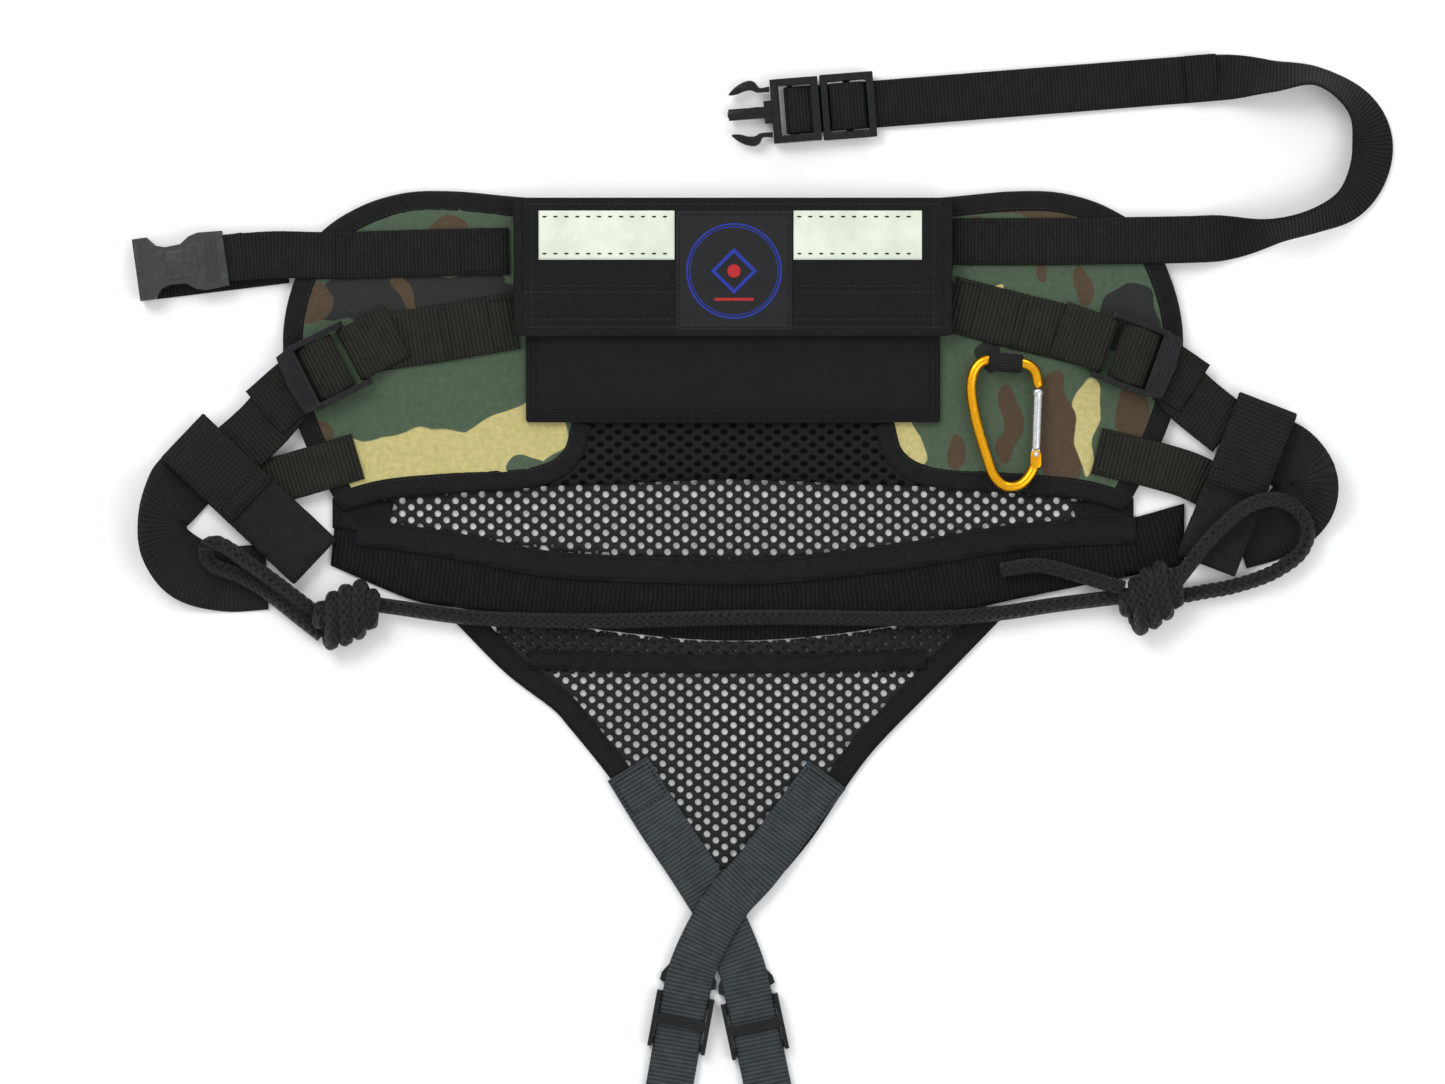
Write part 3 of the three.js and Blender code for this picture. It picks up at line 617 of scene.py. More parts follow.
def ribbed_webbing(name, colour, pitch, dark=0.45):
    """Flat woven webbing with cross ribs, each made of short lengthwise yarns."""
    look = Look(name, colour, 0.6, specular=0.06)
    along, sideways = look.weave()
    ribs = look.wave(along, pitch)
    half = look.math("FLOOR", look.math("DIVIDE", along, pitch))
    shift = look.math("MULTIPLY", look.math("MODULO", half, 2), 0.55)
    yarns = look.wave(look.math("ADD", sideways, shift), 1.1)
    height = look.math("ADD", ribs, look.math("MULTIPLY", yarns, look.math("MULTIPLY", ribs, 0.5)))
    fuzz = look.noise(look.place(), 6)
    look.bump(height, 0.3)
    # Rib tops are painted paler and the valleys darker (dark is the valleys' share): painted highlight on the ribs,
    # painted shade between them; fuzz varies the tone at random.
    tone = look.math("MULTIPLY", look.span(height, 0.1, 1.3, dark, 1.0), look.span(fuzz, 0.3, 0.7, 0.8, 1.15))
    low = shade(colour, 0.3)
    high = shade(colour, 1.8)
    look.set(look.shader, {"Sheen Weight": 0.01, "Sheen Roughness": 0.5})
    return look.paint(look.mix(tone, low, high), look.span(height, 0.2, 1.2, 0.75, 0.5))


def grid_webbing(name, colour, pitch):
    """Webbing whose weave shows as a grid of small raised dots."""
    look = Look(name, colour, 0.65, specular=0.06)
    along, sideways = look.weave()
    row = look.math("FLOOR", look.math("DIVIDE", along, pitch))
    shift = look.math("MULTIPLY", look.math("MODULO", row, 2), pitch * 0.5)
    dots = look.math("MULTIPLY", look.wave(along, pitch), look.wave(look.math("ADD", sideways, shift), pitch))
    look.bump(dots, 0.35)
    fuzz = look.noise(look.place(), 8)
    # The raised dots are painted paler and the gaps darker: painted highlight on the dots, painted shade between them;
    # fuzz varies the tone at random.
    tone = look.math("MULTIPLY", look.span(dots, 0.0, 0.8, 0.35, 1.0), look.span(fuzz, 0.3, 0.7, 0.85, 1.15))
    return look.paint(look.mix(tone, shade(colour, 0.4), shade(colour, 2.1)))


def plain_weave(name, colour, yarn, depth, specular=0.3, wrinkle=0.0, sheen=0.0):
    """Fine plain-woven cloth, with soft wrinkles where it is loose."""
    look = Look(name, colour, 0.6, specular=specular)
    x, y = look.parts(look.place())
    weft = look.wave(look.math("ADD", x, y), yarn)
    warp = look.wave(look.math("SUBTRACT", x, y), yarn)
    threads = look.math("MULTIPLY", weft, warp)
    folds = look.math("MULTIPLY", look.noise(look.place(), 22, 3), wrinkle)
    look.bump(look.math("ADD", threads, folds), depth)
    fuzz = look.noise(look.place(), 14, 4)
    # Thread crossings are painted paler and the gaps between threads darker: painted highlight and painted shade; fuzz
    # varies the tone at random.
    tone = look.math("MULTIPLY", look.span(threads, 0.0, 0.9, 0.55, 1.0), look.span(fuzz, 0.3, 0.7, 0.8, 1.1))
    look.set(look.shader, {"Sheen Weight": sheen, "Sheen Roughness": 0.4})
    dark = shade(colour, 0.5)
    pale = shade(colour, 1.4)
    return look.paint(look.mix(tone, dark, pale))


def binding_tape(name, colour):
    """Smooth woven edge tape with fine slanting twill lines."""
    look = Look(name, colour, 0.55, specular=0.06)
    x, y = look.parts(look.place())
    twill = look.wave(look.math("ADD", x, look.math("MULTIPLY", y, 1.4)), 0.9)
    pucker = look.noise(look.place(), 5, 3)
    look.bump(look.math("ADD", twill, look.math("MULTIPLY", pucker, 2.5)), 0.16)
    # Twill ridges and raised puckers are painted paler and the grooves darker: painted highlight and painted shade.
    tone = look.math("MULTIPLY", look.span(twill, 0, 1, 0.6, 1), look.span(pucker, 0.3, 0.7, 0.75, 1.15))
    return look.paint(look.mix(tone, shade(colour, 0.55), shade(colour, 1.45)))


def knitted(name, colour, pitch, specular=0.08):
    """Warp-knitted mesh yarn, with fine loops."""
    look = Look(name, colour, 0.5, specular=specular)
    x, y = look.parts(look.place())
    loops = look.math("MULTIPLY", look.wave(x, pitch), look.wave(look.math("ADD", y, x), pitch * 1.3))
    fuzz = look.noise(look.place(), 1.6, 3)
    look.bump(look.math("ADD", loops, look.math("MULTIPLY", fuzz, 1.5)), 0.25)
    # Raised loops and fuzz are painted paler and the gaps darker: painted highlight and painted shade.
    tone = look.math("MULTIPLY", look.span(loops, 0, 0.8, 0.5, 1), look.span(fuzz, 0.25, 0.75, 0.6, 1.25))
    return look.paint(look.mix(tone, shade(colour, 0.5), shade(colour, 1.8)))


BRAID_PITCH = 4.6  # along the rope, from one strand to the next
STRAND_WIDTH = 3.6  # round the rope


def braided(name, colour):
    """Shiny braided rope sheath: crossing strands of fine fibres, with pale flecks where light catches."""
    look = Look(name, colour, 0.42, specular=0.3)
    along, sideways = look.weave()
    turned = look.math("MULTIPLY", sideways, BRAID_PITCH / STRAND_WIDTH)
    one = look.wave(look.math("ADD", along, turned), BRAID_PITCH)
    other = look.wave(look.math("SUBTRACT", along, turned), BRAID_PITCH)
    strands = look.math("MAXIMUM", one, other)
    fibres = look.wave(look.math("ADD", along, look.math("MULTIPLY", sideways, 2.0)), 0.55)
    fuzz = look.noise(look.place(), 2.0, 3)
    height = look.math("ADD", look.math("MULTIPLY", strands, 3.0), look.math("ADD", fibres, fuzz))
    look.bump(height, 0.22)
    flecks = look.math("MULTIPLY", look.span(strands, 0.55, 1.0), look.span(fuzz, 0.35, 0.65, 0.35, 1.0))
    look.set(look.shader, {"Sheen Weight": 0.05, "Sheen Roughness": 0.35})
    return look.paint(look.mix(flecks, shade(colour, 0.3), shade(colour, 2.2)))


def moulded_plastic(name, colour, shine):
    """Satin acetal moulding: fine grain, faint scuffs that are rougher and paler."""
    look = Look(name, colour, 0.3, specular=shine)
    grain = look.noise(look.place(), 0.5, 2)
    scuffs = look.span(look.noise(look.place(), 4, 6), 0.52, 0.72)
    look.bump(look.math("ADD", grain, look.math("MULTIPLY", scuffs, 0.4)), 0.018)
    tone = look.mix(scuffs, colour, shade(colour, 1.12))
    return look.paint(tone, look.span(scuffs, 0, 1, 0.26, 0.5))


# Camouflage patches on the wings: middle, half sizes and turn in degrees. Later ones lie on top.
CAMO_GREEN = (78, 96, 75)
CAMO_BROWN = (84, 69, 51)
CAMO_TAN = (206, 194, 129)
CAMO_DARK = (40, 44, 41)
CAMO_PATCHES = [
    (CAMO_TAN, [(-172, -38, 66, 22, 4), (-116, -20, 30, 17, 20), (92, -20, 9, 14, 0)]),
    (CAMO_TAN, [(186, -16, 7, 26, 0), (136, 63, 5, 2.5, 10), (224, -30, 6, 12, 10)]),
    (CAMO_BROWN, [(-224, 50, 13, 12, 10), (-152, 94, 14, 6, 5), (-222, -19, 13, 7, 0), (-190, 78, 9, 4, 10)]),
    (CAMO_BROWN, [(144, -16, 6, 24, 0), (172, -18, 10, 32, 4), (211, -7, 10, 14, 0), (118, -28, 7, 9, 0)]),
    (CAMO_BROWN, [(166, 69, 4, 5, 0), (187, 60, 4, 12, 0), (165, 99, 22, 5, 0), (128, 92, 7, 6, 0)]),
    (CAMO_DARK, [(-168, 52, 64, 17, 0), (-238, 24, 8, 12, 0), (208, 44, 14, 16, 0)]),
    (CAMO_DARK, [(134, 22, 6, 10, 10), (222, 22, 8, 14, 0), (-128, 66, 10, 6, 0)]),
    (CAMO_BROWN, [(-221, 52, 11, 13, 10), (-176, 56, 4, 13, 35)]),
    (CAMO_GREEN, [(-108, -33, 9, 4, 0), (-194, -50, 10, 4, 0)]),
]


CAMO_SWELL = 30  # size of the noise that pushes the patches' edges about
CAMO_PUSH = 22.0  # the full spread of that push, half of it each way


def camouflage():
    """Woven polyester with woodland patches: soft-edged shapes pushed about by noise, on a green ground."""
    look = Look("camo_cloth", CAMO_GREEN, 0.75, specular=0.2)
    place = look.place()
    push = look.node("TexNoise", {"Vector": place, "Scale": 1 / CAMO_SWELL, "Detail": 1.0}).outputs[1]
    moved = look.node("VectorMath", {0: push, 1: (-0.5, -0.5, 0)}, operation="ADD").outputs[0]
    pushed = look.node("VectorMath", {0: moved, "Scale": CAMO_PUSH}, operation="SCALE").outputs[0]
    spot = look.node("VectorMath", {0: place, 1: pushed}, operation="ADD").outputs[0]
    flat = look.node("VectorMath", {0: spot, 1: (1, 1, 0)}, operation="MULTIPLY").outputs[0]
    colour = rgb(CAMO_GREEN)
    for patch_colour, patches in CAMO_PATCHES:
        for x, y, half_x, half_y, turn in patches:
            inputs = {
                "Vector": flat,
                "Location": (x, y, 0),
                "Rotation": (0, 0, math.radians(turn)),
                "Scale": (half_x, half_y, 1),
            }
            local = look.node("Mapping", inputs, vector_type="TEXTURE").outputs[0]
            reach = look.node("VectorMath", {0: local}, operation="LENGTH").outputs[1]
            edge = look.span(reach, 1.02, 0.98)
            inputs = {0: edge, 6: colour, 7: rgb(patch_colour)}
            colour = look.node("Mix", inputs, data_type="RGBA").outputs[2]
    x, y = look.parts(place)
    weft = look.wave(x, 0.75)
    warp = look.wave(y, 0.75)
    threads = look.math("MULTIPLY", weft, warp)
    fade = look.noise(place, 3.0, 4)
    folds = look.noise(place, 18, 2)
    look.bump(look.math("ADD", threads, look.math("MULTIPLY", folds, 3.0)), 0.22)
    # Raised threads are painted a little paler and the gaps between them darker, painted highlight and painted shade;
    # the fade noise varies the tone at random.
    thread_shade_and_fade = look.math("MULTIPLY", look.span(threads, 0, 1, 0.82, 1.04), look.span(fade, 0.3, 0.7, 0.86, 1.1))
    look.set(look.shader, {"Sheen Weight": 0.15})
    mixed = look.node("VectorMath", {0: colour, "Scale": thread_shade_and_fade}, operation="SCALE").outputs[0]
    return look.paint(mixed)


HOLE_STEP_X = 9.4  # from one hole to the next, in the pad's spacer fabric and the seat's mesh
HOLE_STEP_Y = 6.8


def spacer_fabric():
    """Thick warp-knitted spacer: rows of small round hollows in dark yarn."""
    look = Look("spacer_mesh", (34, 36, 38), 0.75, specular=0.05)
    x, y = look.parts(look.place())
    hollows = look.math("MULTIPLY", look.wave(x, HOLE_STEP_X), look.wave(y, HOLE_STEP_Y))
    other = look.math(
        "MULTIPLY",
        look.wave(look.math("ADD", x, HOLE_STEP_X / 2), HOLE_STEP_X),
        look.wave(look.math("ADD", y, HOLE_STEP_Y / 2), HOLE_STEP_Y),
    )
    pits = look.math("MAXIMUM", hollows, other)
    yarn = look.noise(look.place(), 0.9, 3)
    look.bump(look.math("SUBTRACT", look.math("MULTIPLY", yarn, 0.4), pits), 0.7)
    # The hollows are painted near-black: painted shade in the pits.
    return look.paint(look.mix(look.span(pits, 0.45, 0.7), (30, 32, 31), (5, 5, 6)))


def reflective():
    """Silver retro-reflective tape: fine glass-bead grain, a little duller where it has been handled."""
    look = Look("reflective_tape", (222, 228, 214), 0.45, metallic=0.15, specular=0.5)
    beads = look.noise(look.place(), 0.35, 2)
    worn = look.noise(look.place(), 14, 4)
    look.bump(beads, 0.04)
    return look.paint(look.mix(look.span(worn, 0.35, 0.65), (206, 213, 196), (222, 228, 212)))


EMBLEM = (0.5, 68.0)
EMBLEM_RADIUS = 25.5


def emblem():
    """A black woven patch printed with two blue rings, a blue diamond, a red dot and a red bar."""
    look = Look("emblem_print", (20, 20, 23), 0.6, specular=0.3)
    place = look.place()
    centred = look.node("VectorMath", {0: place, 1: (*EMBLEM, 0)}, operation="SUBTRACT").outputs[0]
    x, y = look.parts(centred)
    flat = look.node("CombineXYZ", {0: x, 1: y}).outputs[0]
    radius = look.node("VectorMath", {0: flat}, operation="LENGTH").outputs[1]

    def band(value, middle, half):
        off = look.math("ABSOLUTE", look.math("SUBTRACT", value, middle))
        return look.span(off, half + 0.12, half - 0.12)

    outer = band(radius, EMBLEM_RADIUS - 0.6, 0.45)
    inner = band(radius, EMBLEM_RADIUS - 2.1, 0.25)
    away = look.math("ADD", look.math("ABSOLUTE", x), look.math("ABSOLUTE", y))
    diamond = band(away, 11.0, 1.3)
    blue = look.math("MAXIMUM", look.math("MAXIMUM", outer, inner), diamond)
    dot = look.span(radius, 3.6, 3.3)
    long_bar = look.math("MULTIPLY", band(y, -15.0, 0.7), look.span(look.math("ABSOLUTE", x), 10.5, 10.1))
    red = look.math("MAXIMUM", dot, long_bar)
    weft = look.wave(look.math("ADD", x, y), 0.8)
    threads = look.math("MULTIPLY", weft, look.wave(look.math("SUBTRACT", x, y), 0.8))
    print_height = look.math("MULTIPLY", look.math("MAXIMUM", red, blue), 0.8)
    look.bump(look.math("ADD", threads, print_height), 0.12)
    # The ground's raised threads are painted paler and the gaps darker: painted highlight and painted shade.
    colour = look.mix(look.span(threads, 0, 1), (10, 10, 12), (30, 30, 34))
    colour = look.mix(red, colour, (176, 30, 34))
    return look.paint(look.mix(blue, colour, (26, 48, 150)))


def metal(name, colour, roughness, brushed):
    """Anodised or bare metal with fine handling scratches."""
    look = Look(name, colour, roughness, metallic=1.0)
    marks = look.noise(look.place(), 1.4, 6)
    fine = look.noise(look.place(), 0.25, 2)
    look.bump(look.math("ADD", marks, look.math("MULTIPLY", fine, brushed)), 0.004)
    tone = look.mix(look.span(marks, 0.35, 0.75), colour, shade(colour, 1.12))
    return look.paint(tone, look.span(marks, 0.35, 0.75, roughness, roughness + 0.1))


WEBBING = ribbed_webbing("waist_webbing", (21, 20, 20), 1.9)
LEG_WEBBING = ribbed_webbing("leg_webbing", (38, 41, 43), 2.2)
SEAT_WEBBING = ribbed_webbing("seat_webbing_weave", (15, 16, 17), 2.4)
COARSE_WEBBING = ribbed_webbing("diagonal_webbing", (25, 25, 22), 2.2)
GRID_WEBBING = grid_webbing("hip_webbing", (20, 20, 19), 2.3)
TAPE_CLOTH = binding_tape("binding_tape", (23, 23, 23))
NYLON = plain_weave("pocket_nylon", (21, 21, 21), 0.8, 0.25, 0.12, wrinkle=4.0, sheen=0.05)
HOOK_CLOTH = knitted("hook_and_loop", (22, 22, 24), 1.3)
MESH_YARN = knitted("open_mesh", (26, 27, 27), 1.1)
CAMO_CLOTH = camouflage()
SPACER = spacer_fabric()
SILVER_TAPE = reflective()
EMBLEM_CLOTH = emblem()
THREAD = plain_weave("dark_sewing_thread", (13, 13, 14), 0.5, 0.05, 0.1)
PALE_THREAD = plain_weave("grey_sewing_thread", (44, 47, 47), 0.5, 0.05, 0.15)
ROPE_SHEATH = braided("rope", (22, 22, 23))
PLASTIC = moulded_plastic("buckle_plastic", (16, 17, 18), 0.3)
PALE_PLASTIC = moulded_plastic("worn_buckle_plastic", (48, 51, 48), 0.4)
GOLD = metal("gold_anodised", (236, 164, 30), 0.24, 0.6)
STEEL = metal("bare_steel", (206, 208, 212), 0.22, 1.0)


# ---- stage ----------------------------------------------------------------------------------------
FLOOR_REACH = 6.0  # metres, as are the lights' places and sizes
FLOOR_DROP = 0.0004  # metres that the floor lies below the frame's zero


def stage():
    floor_mesh = bpy.data.meshes.new("floor")
    reach = FLOOR_REACH
    corners = [(-reach, -reach, 0), (reach, -reach, 0), (reach, reach, 0), (-reach, reach, 0)]
    floor_mesh.from_pydata(corners, [], [(0, 1, 2, 3)])
    floor = bpy.data.objects.new("floor", floor_mesh)
    floor.location.z = -FLOOR_DROP
    bpy.context.scene.collection.objects.link(floor)
    paper = Look("white_floor", (250, 250, 250), 0.9, specular=0.1)
    mottle = paper.noise(paper.place(), 400, 2)
    floor_mesh.materials.append(paper.paint(paper.mix(mottle, (247, 247, 247), (253, 253, 253))))
    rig.stage(floor)

    world = bpy.data.worlds.new("studio")
    world.use_nodes = True
    world.node_tree.nodes["Background"].inputs["Color"].default_value = (0.97, 0.985, 1.0, 1)
    world.node_tree.nodes["Background"].inputs["Strength"].default_value = 0.75
    bpy.context.scene.world = world
    for name, place, size, power in [
        ("key", (-1.1, 1.3, 1.9), 1.2, 26),
        ("fill", (1.5, -0.9, 2.2), 1.6, 16),
        ("rim", (0.6, 1.9, 0.9), 0.8, 8),
    ]:
        light = bpy.data.lights.new(name, "AREA")
        light.size = size
        light.energy = power
        lamp = bpy.data.objects.new(name, light)
        lamp.location = place
        lamp.rotation_euler = (-Vector(place)).to_track_quat("-Z", "Y").to_euler()
        bpy.context.scene.collection.objects.link(lamp)

    camera = bpy.data.cameras.new("camera")
    camera.sensor_width = 36
    camera.lens = camera.sensor_width * CAMERA_UP / VIEW_WIDTH
    camera.clip_end = 50
    viewer = bpy.data.objects.new("camera", camera)
    viewer.location = (VIEW_MIDDLE[0] * MM, VIEW_MIDDLE[1] * MM, CAMERA_UP * MM)
    bpy.context.scene.collection.objects.link(viewer)
    bpy.context.scene.camera = viewer
    bpy.context.scene.view_settings.view_transform = "Standard"


# ---- tow rope -------------------------------------------------------------------------------------
ROPE_RUNS = {
    "tow_rope": [
        [-177, -110.5, 6.6], [-141, -115.5, 6.4], [-75, -117.5, 6.4], [14, -115.5, 6.4], [107, -116, 6.4],
        [140, -113.5, 6.4], [170, -109, 6.4], [194, -106, 7],
    ],
    "rope_loop_left": [
        [-228.5, -117, 5.6], [-249, -101, 6.8], [-262, -93.5, 7.6], [-276.3, -87.7, 8.6],
        [-279.7, -82.9, 10.1], [-279, -78, 13.7], [-274.5, -75.9, 17.3], [-268.9, -77.9, 18.8],
        [-258.5, -85.5, 16], [-246, -94.5, 12], [-231, -106, 8],
    ],
    "rope_loop_right": [
        [240, -90, 14.6], [251, -76, 15.2], [264, -63, 15.4], [276, -55, 15.8], [288, -53, 14.6],
        [299, -58, 10.6], [305, -68, 9.6], [302, -80, 7.6], [288, -91, 6.4], [266, -99, 4.6],
        [250, -102, 5.2],
    ],
    "rope_tail": [[195, -96.5, 9.6], [180, -92, 6.8], [162, -88, 6.4], [142, -90.5, 6.4]],
}
KNOTS = {"left": ([-205, -114, 10.8], 25), "right": ([222, -105, 10.8], 35)}
BRAID = 18.0
BRAID_RELIEF = 0.42
KNOT_ROPE = 8.0
ROPE_LAP = 13  # how far a rope runs on into its knot
KNOT_LENGTH = 31
KNOT_SLANT = 3.6  # how far each turn leans along the knot
KNOT_HALF_WIDTH = 11.6
KNOT_HALF_HEIGHT = 6.0
KNOT_START = 0.4  # where the first turn begins, in radians


def braid(along, angle):
    """Crossing strands of a braided sheath, as extra radius."""
    turn = 2 * math.pi * along / BRAID
    one = math.sin(4 * (angle + turn))
    other = math.sin(4 * (angle - turn))
    return BRAID_RELIEF * (max(one, other) - 0.7)


def knot_path(turn, at, wraps=4):
    """Rope wound round itself: fat slanting turns side by side, both ends tucked down inside them."""
    points = [[-6, 0, 0], [-14, 2, -1]]
    for i in range(wraps * 12 + 1):
        angle = 2 * math.pi * i / 12
        share = i / (wraps * 12) - 0.5
        fat = 1 - 1.1 * share * share
        s, c = math.sin(angle + KNOT_START), math.cos(angle + KNOT_START)
        x = share * KNOT_LENGTH + KNOT_SLANT * s
        points.append([x, KNOT_HALF_WIDTH * fat * s, KNOT_HALF_HEIGHT * fat * c])
    points += [[14, -2, -1], [6, 0, 0]]
    c, s = math.cos(math.radians(turn)), math.sin(math.radians(turn))
    return [[at[0] + x * c - y * s, at[1] + x * s + y * c, at[2] + z * 0.95] for x, y, z in points]


def run_on(run, at_start, at_end):
    """A rope's route carried straight on at the ends that go into a knot."""
    run = [np.array(p, float) for p in run]
    if at_start:
        out = (run[0] - run[1]) / np.linalg.norm(run[0] - run[1])
        run.insert(0, run[0] + out * ROPE_LAP)
    if at_end:
        out = (run[-1] - run[-2]) / np.linalg.norm(run[-1] - run[-2])
        run.append(run[-1] + out * ROPE_LAP)
    return run


def tow_rope():
    paths = {name: spline(run_on(run, True, name != "rope_tail"), 0.7) for name, run in ROPE_RUNS.items()}
    ropes = {}
    for name, path in paths.items():
        ropes[name] = tube(name + "_braid", path, ROPE_D, ROPE_SHEATH, sides=28, relief=braid)
        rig.replaces(ropes[name], name)
        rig.slot(ropes[name], "rope")
    knots = {}
    for side, (at, turn) in KNOTS.items():
        path = spline(knot_path(turn, at), 0.7)
        knots[side] = tube(f"rope_knot_{side}_wound", path, KNOT_ROPE, ROPE_SHEATH, sides=24, relief=braid)
        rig.replaces(knots[side], f"rope_knot_{side}")
        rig.slot(knots[side], "rope")
    ends = {
        "tow_rope": ("knot", [knots["left"]]),
        "rope_loop_left": ("knot", []),
        "rope_loop_right": ("knot", [knots["right"]]),
        "rope_tail": ("bare", []),
    }
    for name, (far_end, others) in ends.items():
        path = paths[name] * MM
        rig.cord(
            ropes[name],
            exit=path[0],
            length=lengths(path)[-1],
            diameter=ROPE_D * MM,
            far_end=far_end,
            stiffness="limp",
            lay="loose",
            path=even(path, 0.0025),
            with_pieces=others,
        )


stage()
tow_rope()


# ---- waist panel ----------------------------------------------------------------------------------
HALF_EDGE = [
    [0, 102], [60, 104], [115, 108], [150, 111], [175, 110], [200, 102], [221, 87], [233, 64], [239, 38],
    [237, 6], [228, -22], [209, -58],
]
HALF_FOOT = [[207, -59], [184, -53], [140, -49], [104, -46], [90, -41], [80, -31], [75, -14]]
SIDES = {"left": mirrored, "right": list}
WING_LAP = 3  # how far a wing's cloth runs in under its binding


def flat_spline(points, step):
    """A smooth plane line as plain (x, y) pairs."""
    path = spline([[x, y, 0] for x, y in points], step)
    return [(float(x), float(y)) for x, y, _ in path]


def taper(x, y, outline, reach):
    """1 well inside an outline and 0 on its edge, rounding off over reach."""
    off = np.linalg.norm(outline - np.array((x, y)), axis=1).min()
    share = min(off / reach, 1)
    return math.sqrt(max(0.0, 1 - (1 - share) ** 2))


def bound_edge(name, line, inner_z, outer_z, material, width=BINDING, body="belt"):
    """Tape folded over an edge: from its sewn edge on the face, over the rim and a little way down."""
    path = even([[x, y, 0] for x, y in line], 2.5)
    runs = np.gradient(path, axis=0)
    along = lengths(path)
    section = [(0, -0.9), (0.2, 0), (1.4, 0.15), (width * 0.5, 0.5), (width - 2, 0.35), (width - 0.6, -0.5)]
    section += [(width - 0.1, -1.8), (width, outer_z - inner_z), (width - 1.2, outer_z - inner_z)]
    section += [(width - 1.3, -2.2), (width - 2.2, -1.0), (width * 0.5, -0.9)]
    rings, uvs = [], []
    for i, (point, run) in enumerate(zip(path, runs)):
        run = Vector(run).normalized()
        side = Vector((run.y, -run.x, 0))
        pucker = 0.22 * noise.noise(Vector((along[i] * 0.22, width, 0)))
        middle = Vector(point) - side * width
        ring = []
        for x, z in section:
            lift = inner_z + z + (pucker if z > 0 else 0)
            ring.append(middle + side * x + Vector((0, 0, lift)))
        rings.append(ring)
        uvs.extend((along[i], x) for x, _ in section)
    points, faces = loft(rings)
    obj = outward(piece(name, points, faces, material, body, uvs))
    return sharpen(obj, 60)


def waist_panel():
    edge = flat_spline(HALF_EDGE, 4)
    foot = flat_spline(HALF_FOOT[:4], 4)
    half = edge + foot
    outline = half[1:] + [(0, -42)] + mirrored(half)[:-1]
    rim = np.array(even([[x, y, 0] for x, y in outline], 2))[:, :2]

    def pad_top(x, y):
        swell = 0.35 * noise.noise(Vector((x * 0.02, y * 0.025, 4)))
        return 1.8 + (PAD_TOP - 1.8 - 0.2 + swell * 0.5) * taper(x, y, rim, 6)

    pad = cloth("back_pad_foam", outline, pad_top, 0, SPACER, cell=6, low=0.02)
    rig.replaces(pad, "back_pad")
    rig.slot(pad, "spacer_mesh")
    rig.padded(pad, fill=0.8)

    wing = flat_spline(HALF_EDGE[2:], 3) + flat_spline(HALF_FOOT, 3)
    under = [tuple(p) for p in beside(wing, -(BINDING - WING_LAP))]
    for side, turn in SIDES.items():
        def face(x, y):
            ripple = noise.noise(Vector((x * 0.022, y * 0.03, 1.5)))
            return PAD_TOP + GAP + CLOTH * 0.8 + 0.25 * ripple

        panel = cloth(f"wing_camouflage_{side}", turn(under), face, 0.6, CAMO_CLOTH, cell=5)
        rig.replaces(panel, f"wing_cloth_{side}")
        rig.slot(panel, "camo_cloth")
        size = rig.box(f"wing_cloth_{side}")[1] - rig.box(f"wing_cloth_{side}")[0]
        flat = [size.x + 2 * WING_LAP * MM, size.y + 2 * WING_LAP * MM]
        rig.sheet(panel, flat, "stretched", rests_on=[pad.name], area=area_of(under))
        tape = bound_edge(f"wing_tape_{side}", turn(wing)[::-1], 6.0, 1.5, TAPE_CLOTH)
        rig.replaces(tape, f"wing_binding_{side}")
        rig.slot(tape, "binding_tape")
        row = [(x, y, CLOTH_TOP + 0.18) for x, y in beside(turn(wing), -(BINDING - 1.6))]
        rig.slot(stitches(f"wing_tape_stitches_{side}", [row], PALE_THREAD), "binding_tape")


def area_of(outline):
    """Area inside an outline, in square metres."""
    points = np.array(outline, float)
    x, y = points[:, 0], points[:, 1]
    return abs(float(np.sum(x * np.roll(y, -1) - y * np.roll(x, -1)))) / 2 * MM * MM


waist_panel()


# ---- pocket ---------------------------------------------------------------------------------------
FLAP_FACE = FLAP_Z + 1
SEAM_GAP = 0.5  # from the raised seam that carries the flap up to the flap itself


def corner_box(x0, x1, y0, y1, step=4):
    """The outline of a rectangle with enough points for its edges to bend."""
    line = [[x0, y0, 0], [x1, y0, 0], [x1, y1, 0], [x0, y1, 0]]
    points = []
    for a, b in zip(line, line[1:] + line[:1]):
        points.extend((float(x), float(y)) for x, y, _ in even([a, b], step)[:-1])
    return points


def pocket_sag(x, y):
    """How far the slack front of the pocket stands up, from 0 at its sewn sides to 1."""
    half = POCKET_W / 2
    side = max(0.0, 1 - (x / half) ** 8)
    foot = min(max((y - POCKET_BOTTOM) / 14, 0), 1)
    return side ** 0.5 * math.sin(foot * math.pi / 2)


